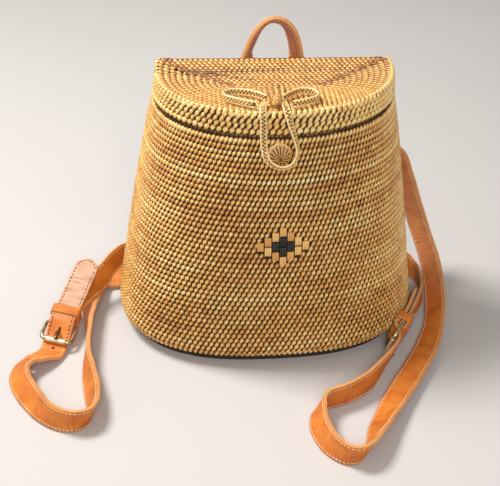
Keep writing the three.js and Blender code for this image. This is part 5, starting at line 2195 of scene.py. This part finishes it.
@dataclass
class Studio:
    """Pale floor, soft lights and the camera at the photograph's angle."""

    eye: tuple = (-118.9, -935.3, 672.9)
    forward: tuple = (0.0901, 0.8472, -0.5235)
    up: tuple = (0.0395, 0.5222, 0.8519)
    lens: float = 86.4
    lamps: tuple = (("key_light", (-0.75, 0.3, 1.45), 30.0), ("fill_light", (-0.1, -1.45, 1.05), 13.0))
    lamp_size: float = 0.5
    lamp_colour: tuple = (1.0, 0.98, 0.96)
    sky: tuple = (0.95, 0.94, 0.93, 1)
    sky_strength: float = 0.42
    floor_tones: tuple = (rgb(192, 188, 185), rgb(198, 194, 191))
    floor_half: float = 6000.0
    floor_z: float = -0.2

    def camera(self) -> None:
        """Places the camera."""
        data = bpy.data.cameras.new("camera")
        data.lens, data.sensor_width = self.lens, 36.0
        camera = bpy.data.objects.new("camera", data)
        back = -Vector(self.forward).normalized()
        right = Vector(self.up).cross(back).normalized()
        up = back.cross(right)
        matrix = Matrix((right, up, back)).transposed().to_4x4()
        matrix.translation = Vector(self.eye) * MM
        camera.matrix_world = matrix
        bpy.context.scene.collection.objects.link(camera)
        bpy.context.scene.camera = camera

    def light(self, name: str, place: tuple, power: float) -> None:
        """Adds one soft area light aimed at the bag.

        Args:
            name: the light's name.
            place: where it hangs, in metres.
            power: its power in watts.
        """
        data = bpy.data.lights.new(name, "AREA")
        data.size, data.energy, data.color = self.lamp_size, power, self.lamp_colour
        lamp = bpy.data.objects.new(name, data)
        lamp.location = place
        lamp.rotation_euler = (Vector((0, 0, 0.12)) - Vector(place)).to_track_quat("-Z", "Y").to_euler()
        bpy.context.scene.collection.objects.link(lamp)

    def make(self) -> None:
        """Builds floor, lights, world and camera."""
        g, shader, material = begin_material("studio_floor")
        place = g.add("ShaderNodeTexCoord").outputs["Object"]
        dark, light = self.floor_tones
        colour = g.ramp(g.noise(place, 1.5), [(0.3, dark), (0.7, light)])
        g.feed(shader, {"Base Color": colour, "Roughness": 0.9})
        half, z = self.floor_half, self.floor_z
        corners = np.array([(-half, -half, z), (half, -half, z), (half, half, z), (-half, half, z)])
        floor = MeshData(corners, [(0, 1, 2, 3)], smooth=False).build("studio_floor", material)
        for name, where, power in self.lamps:
            self.light(name, where, power)
        scene, world = bpy.context.scene, bpy.data.worlds.new("studio_world")
        world.use_nodes = True
        Graph(world.node_tree).feed(world.node_tree.nodes["Background"],
                                    {"Color": self.sky, "Strength": self.sky_strength})
        scene.world = world
        scene.view_settings.view_transform = "Standard"
        self.camera()


def main() -> None:
    """Builds the backpack piece by piece."""
    logging.basicConfig(level=logging.INFO, format="%(message)s", stream=sys.stdout)
    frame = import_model()
    palette, repeater = Palette(), Repeater()
    Studio().make()
    form = BasketForm()
    BasketWeave(form).make(palette, repeater)
    LidWeave(form).make(palette, repeater)
    Closure().make(palette, repeater, form)
    light, brown = Spots(), Spots()
    CarryHandle().make(palette, light)
    for strap in (LEFT_STRAP, RIGHT_STRAP):
        strap.make(palette, light, brown)
    thread = strand([(-1.15, 0.32, -0.1), (-0.5, 0.45, 0.12), (0.5, 0.45, 0.12), (1.15, 0.32, -0.1)])
    for name, spots, finish in (("light_seams", light, palette.cream_thread),
                                ("dark_seams", brown, palette.brown_thread)):
        settle(repeater.make(name, spots, thread, finish, 71, 0.06, 0.06), Body.BASKET, "leather")
    Rivets().make(palette, repeater)
    # the base board gets the dark finish that paints the shade under the basket's lower edge
    board = frame["nodes"]["base_board"]
    board.data.materials.clear()
    board.data.materials.append(palette.board)


if __name__ == "__main__":
    main()
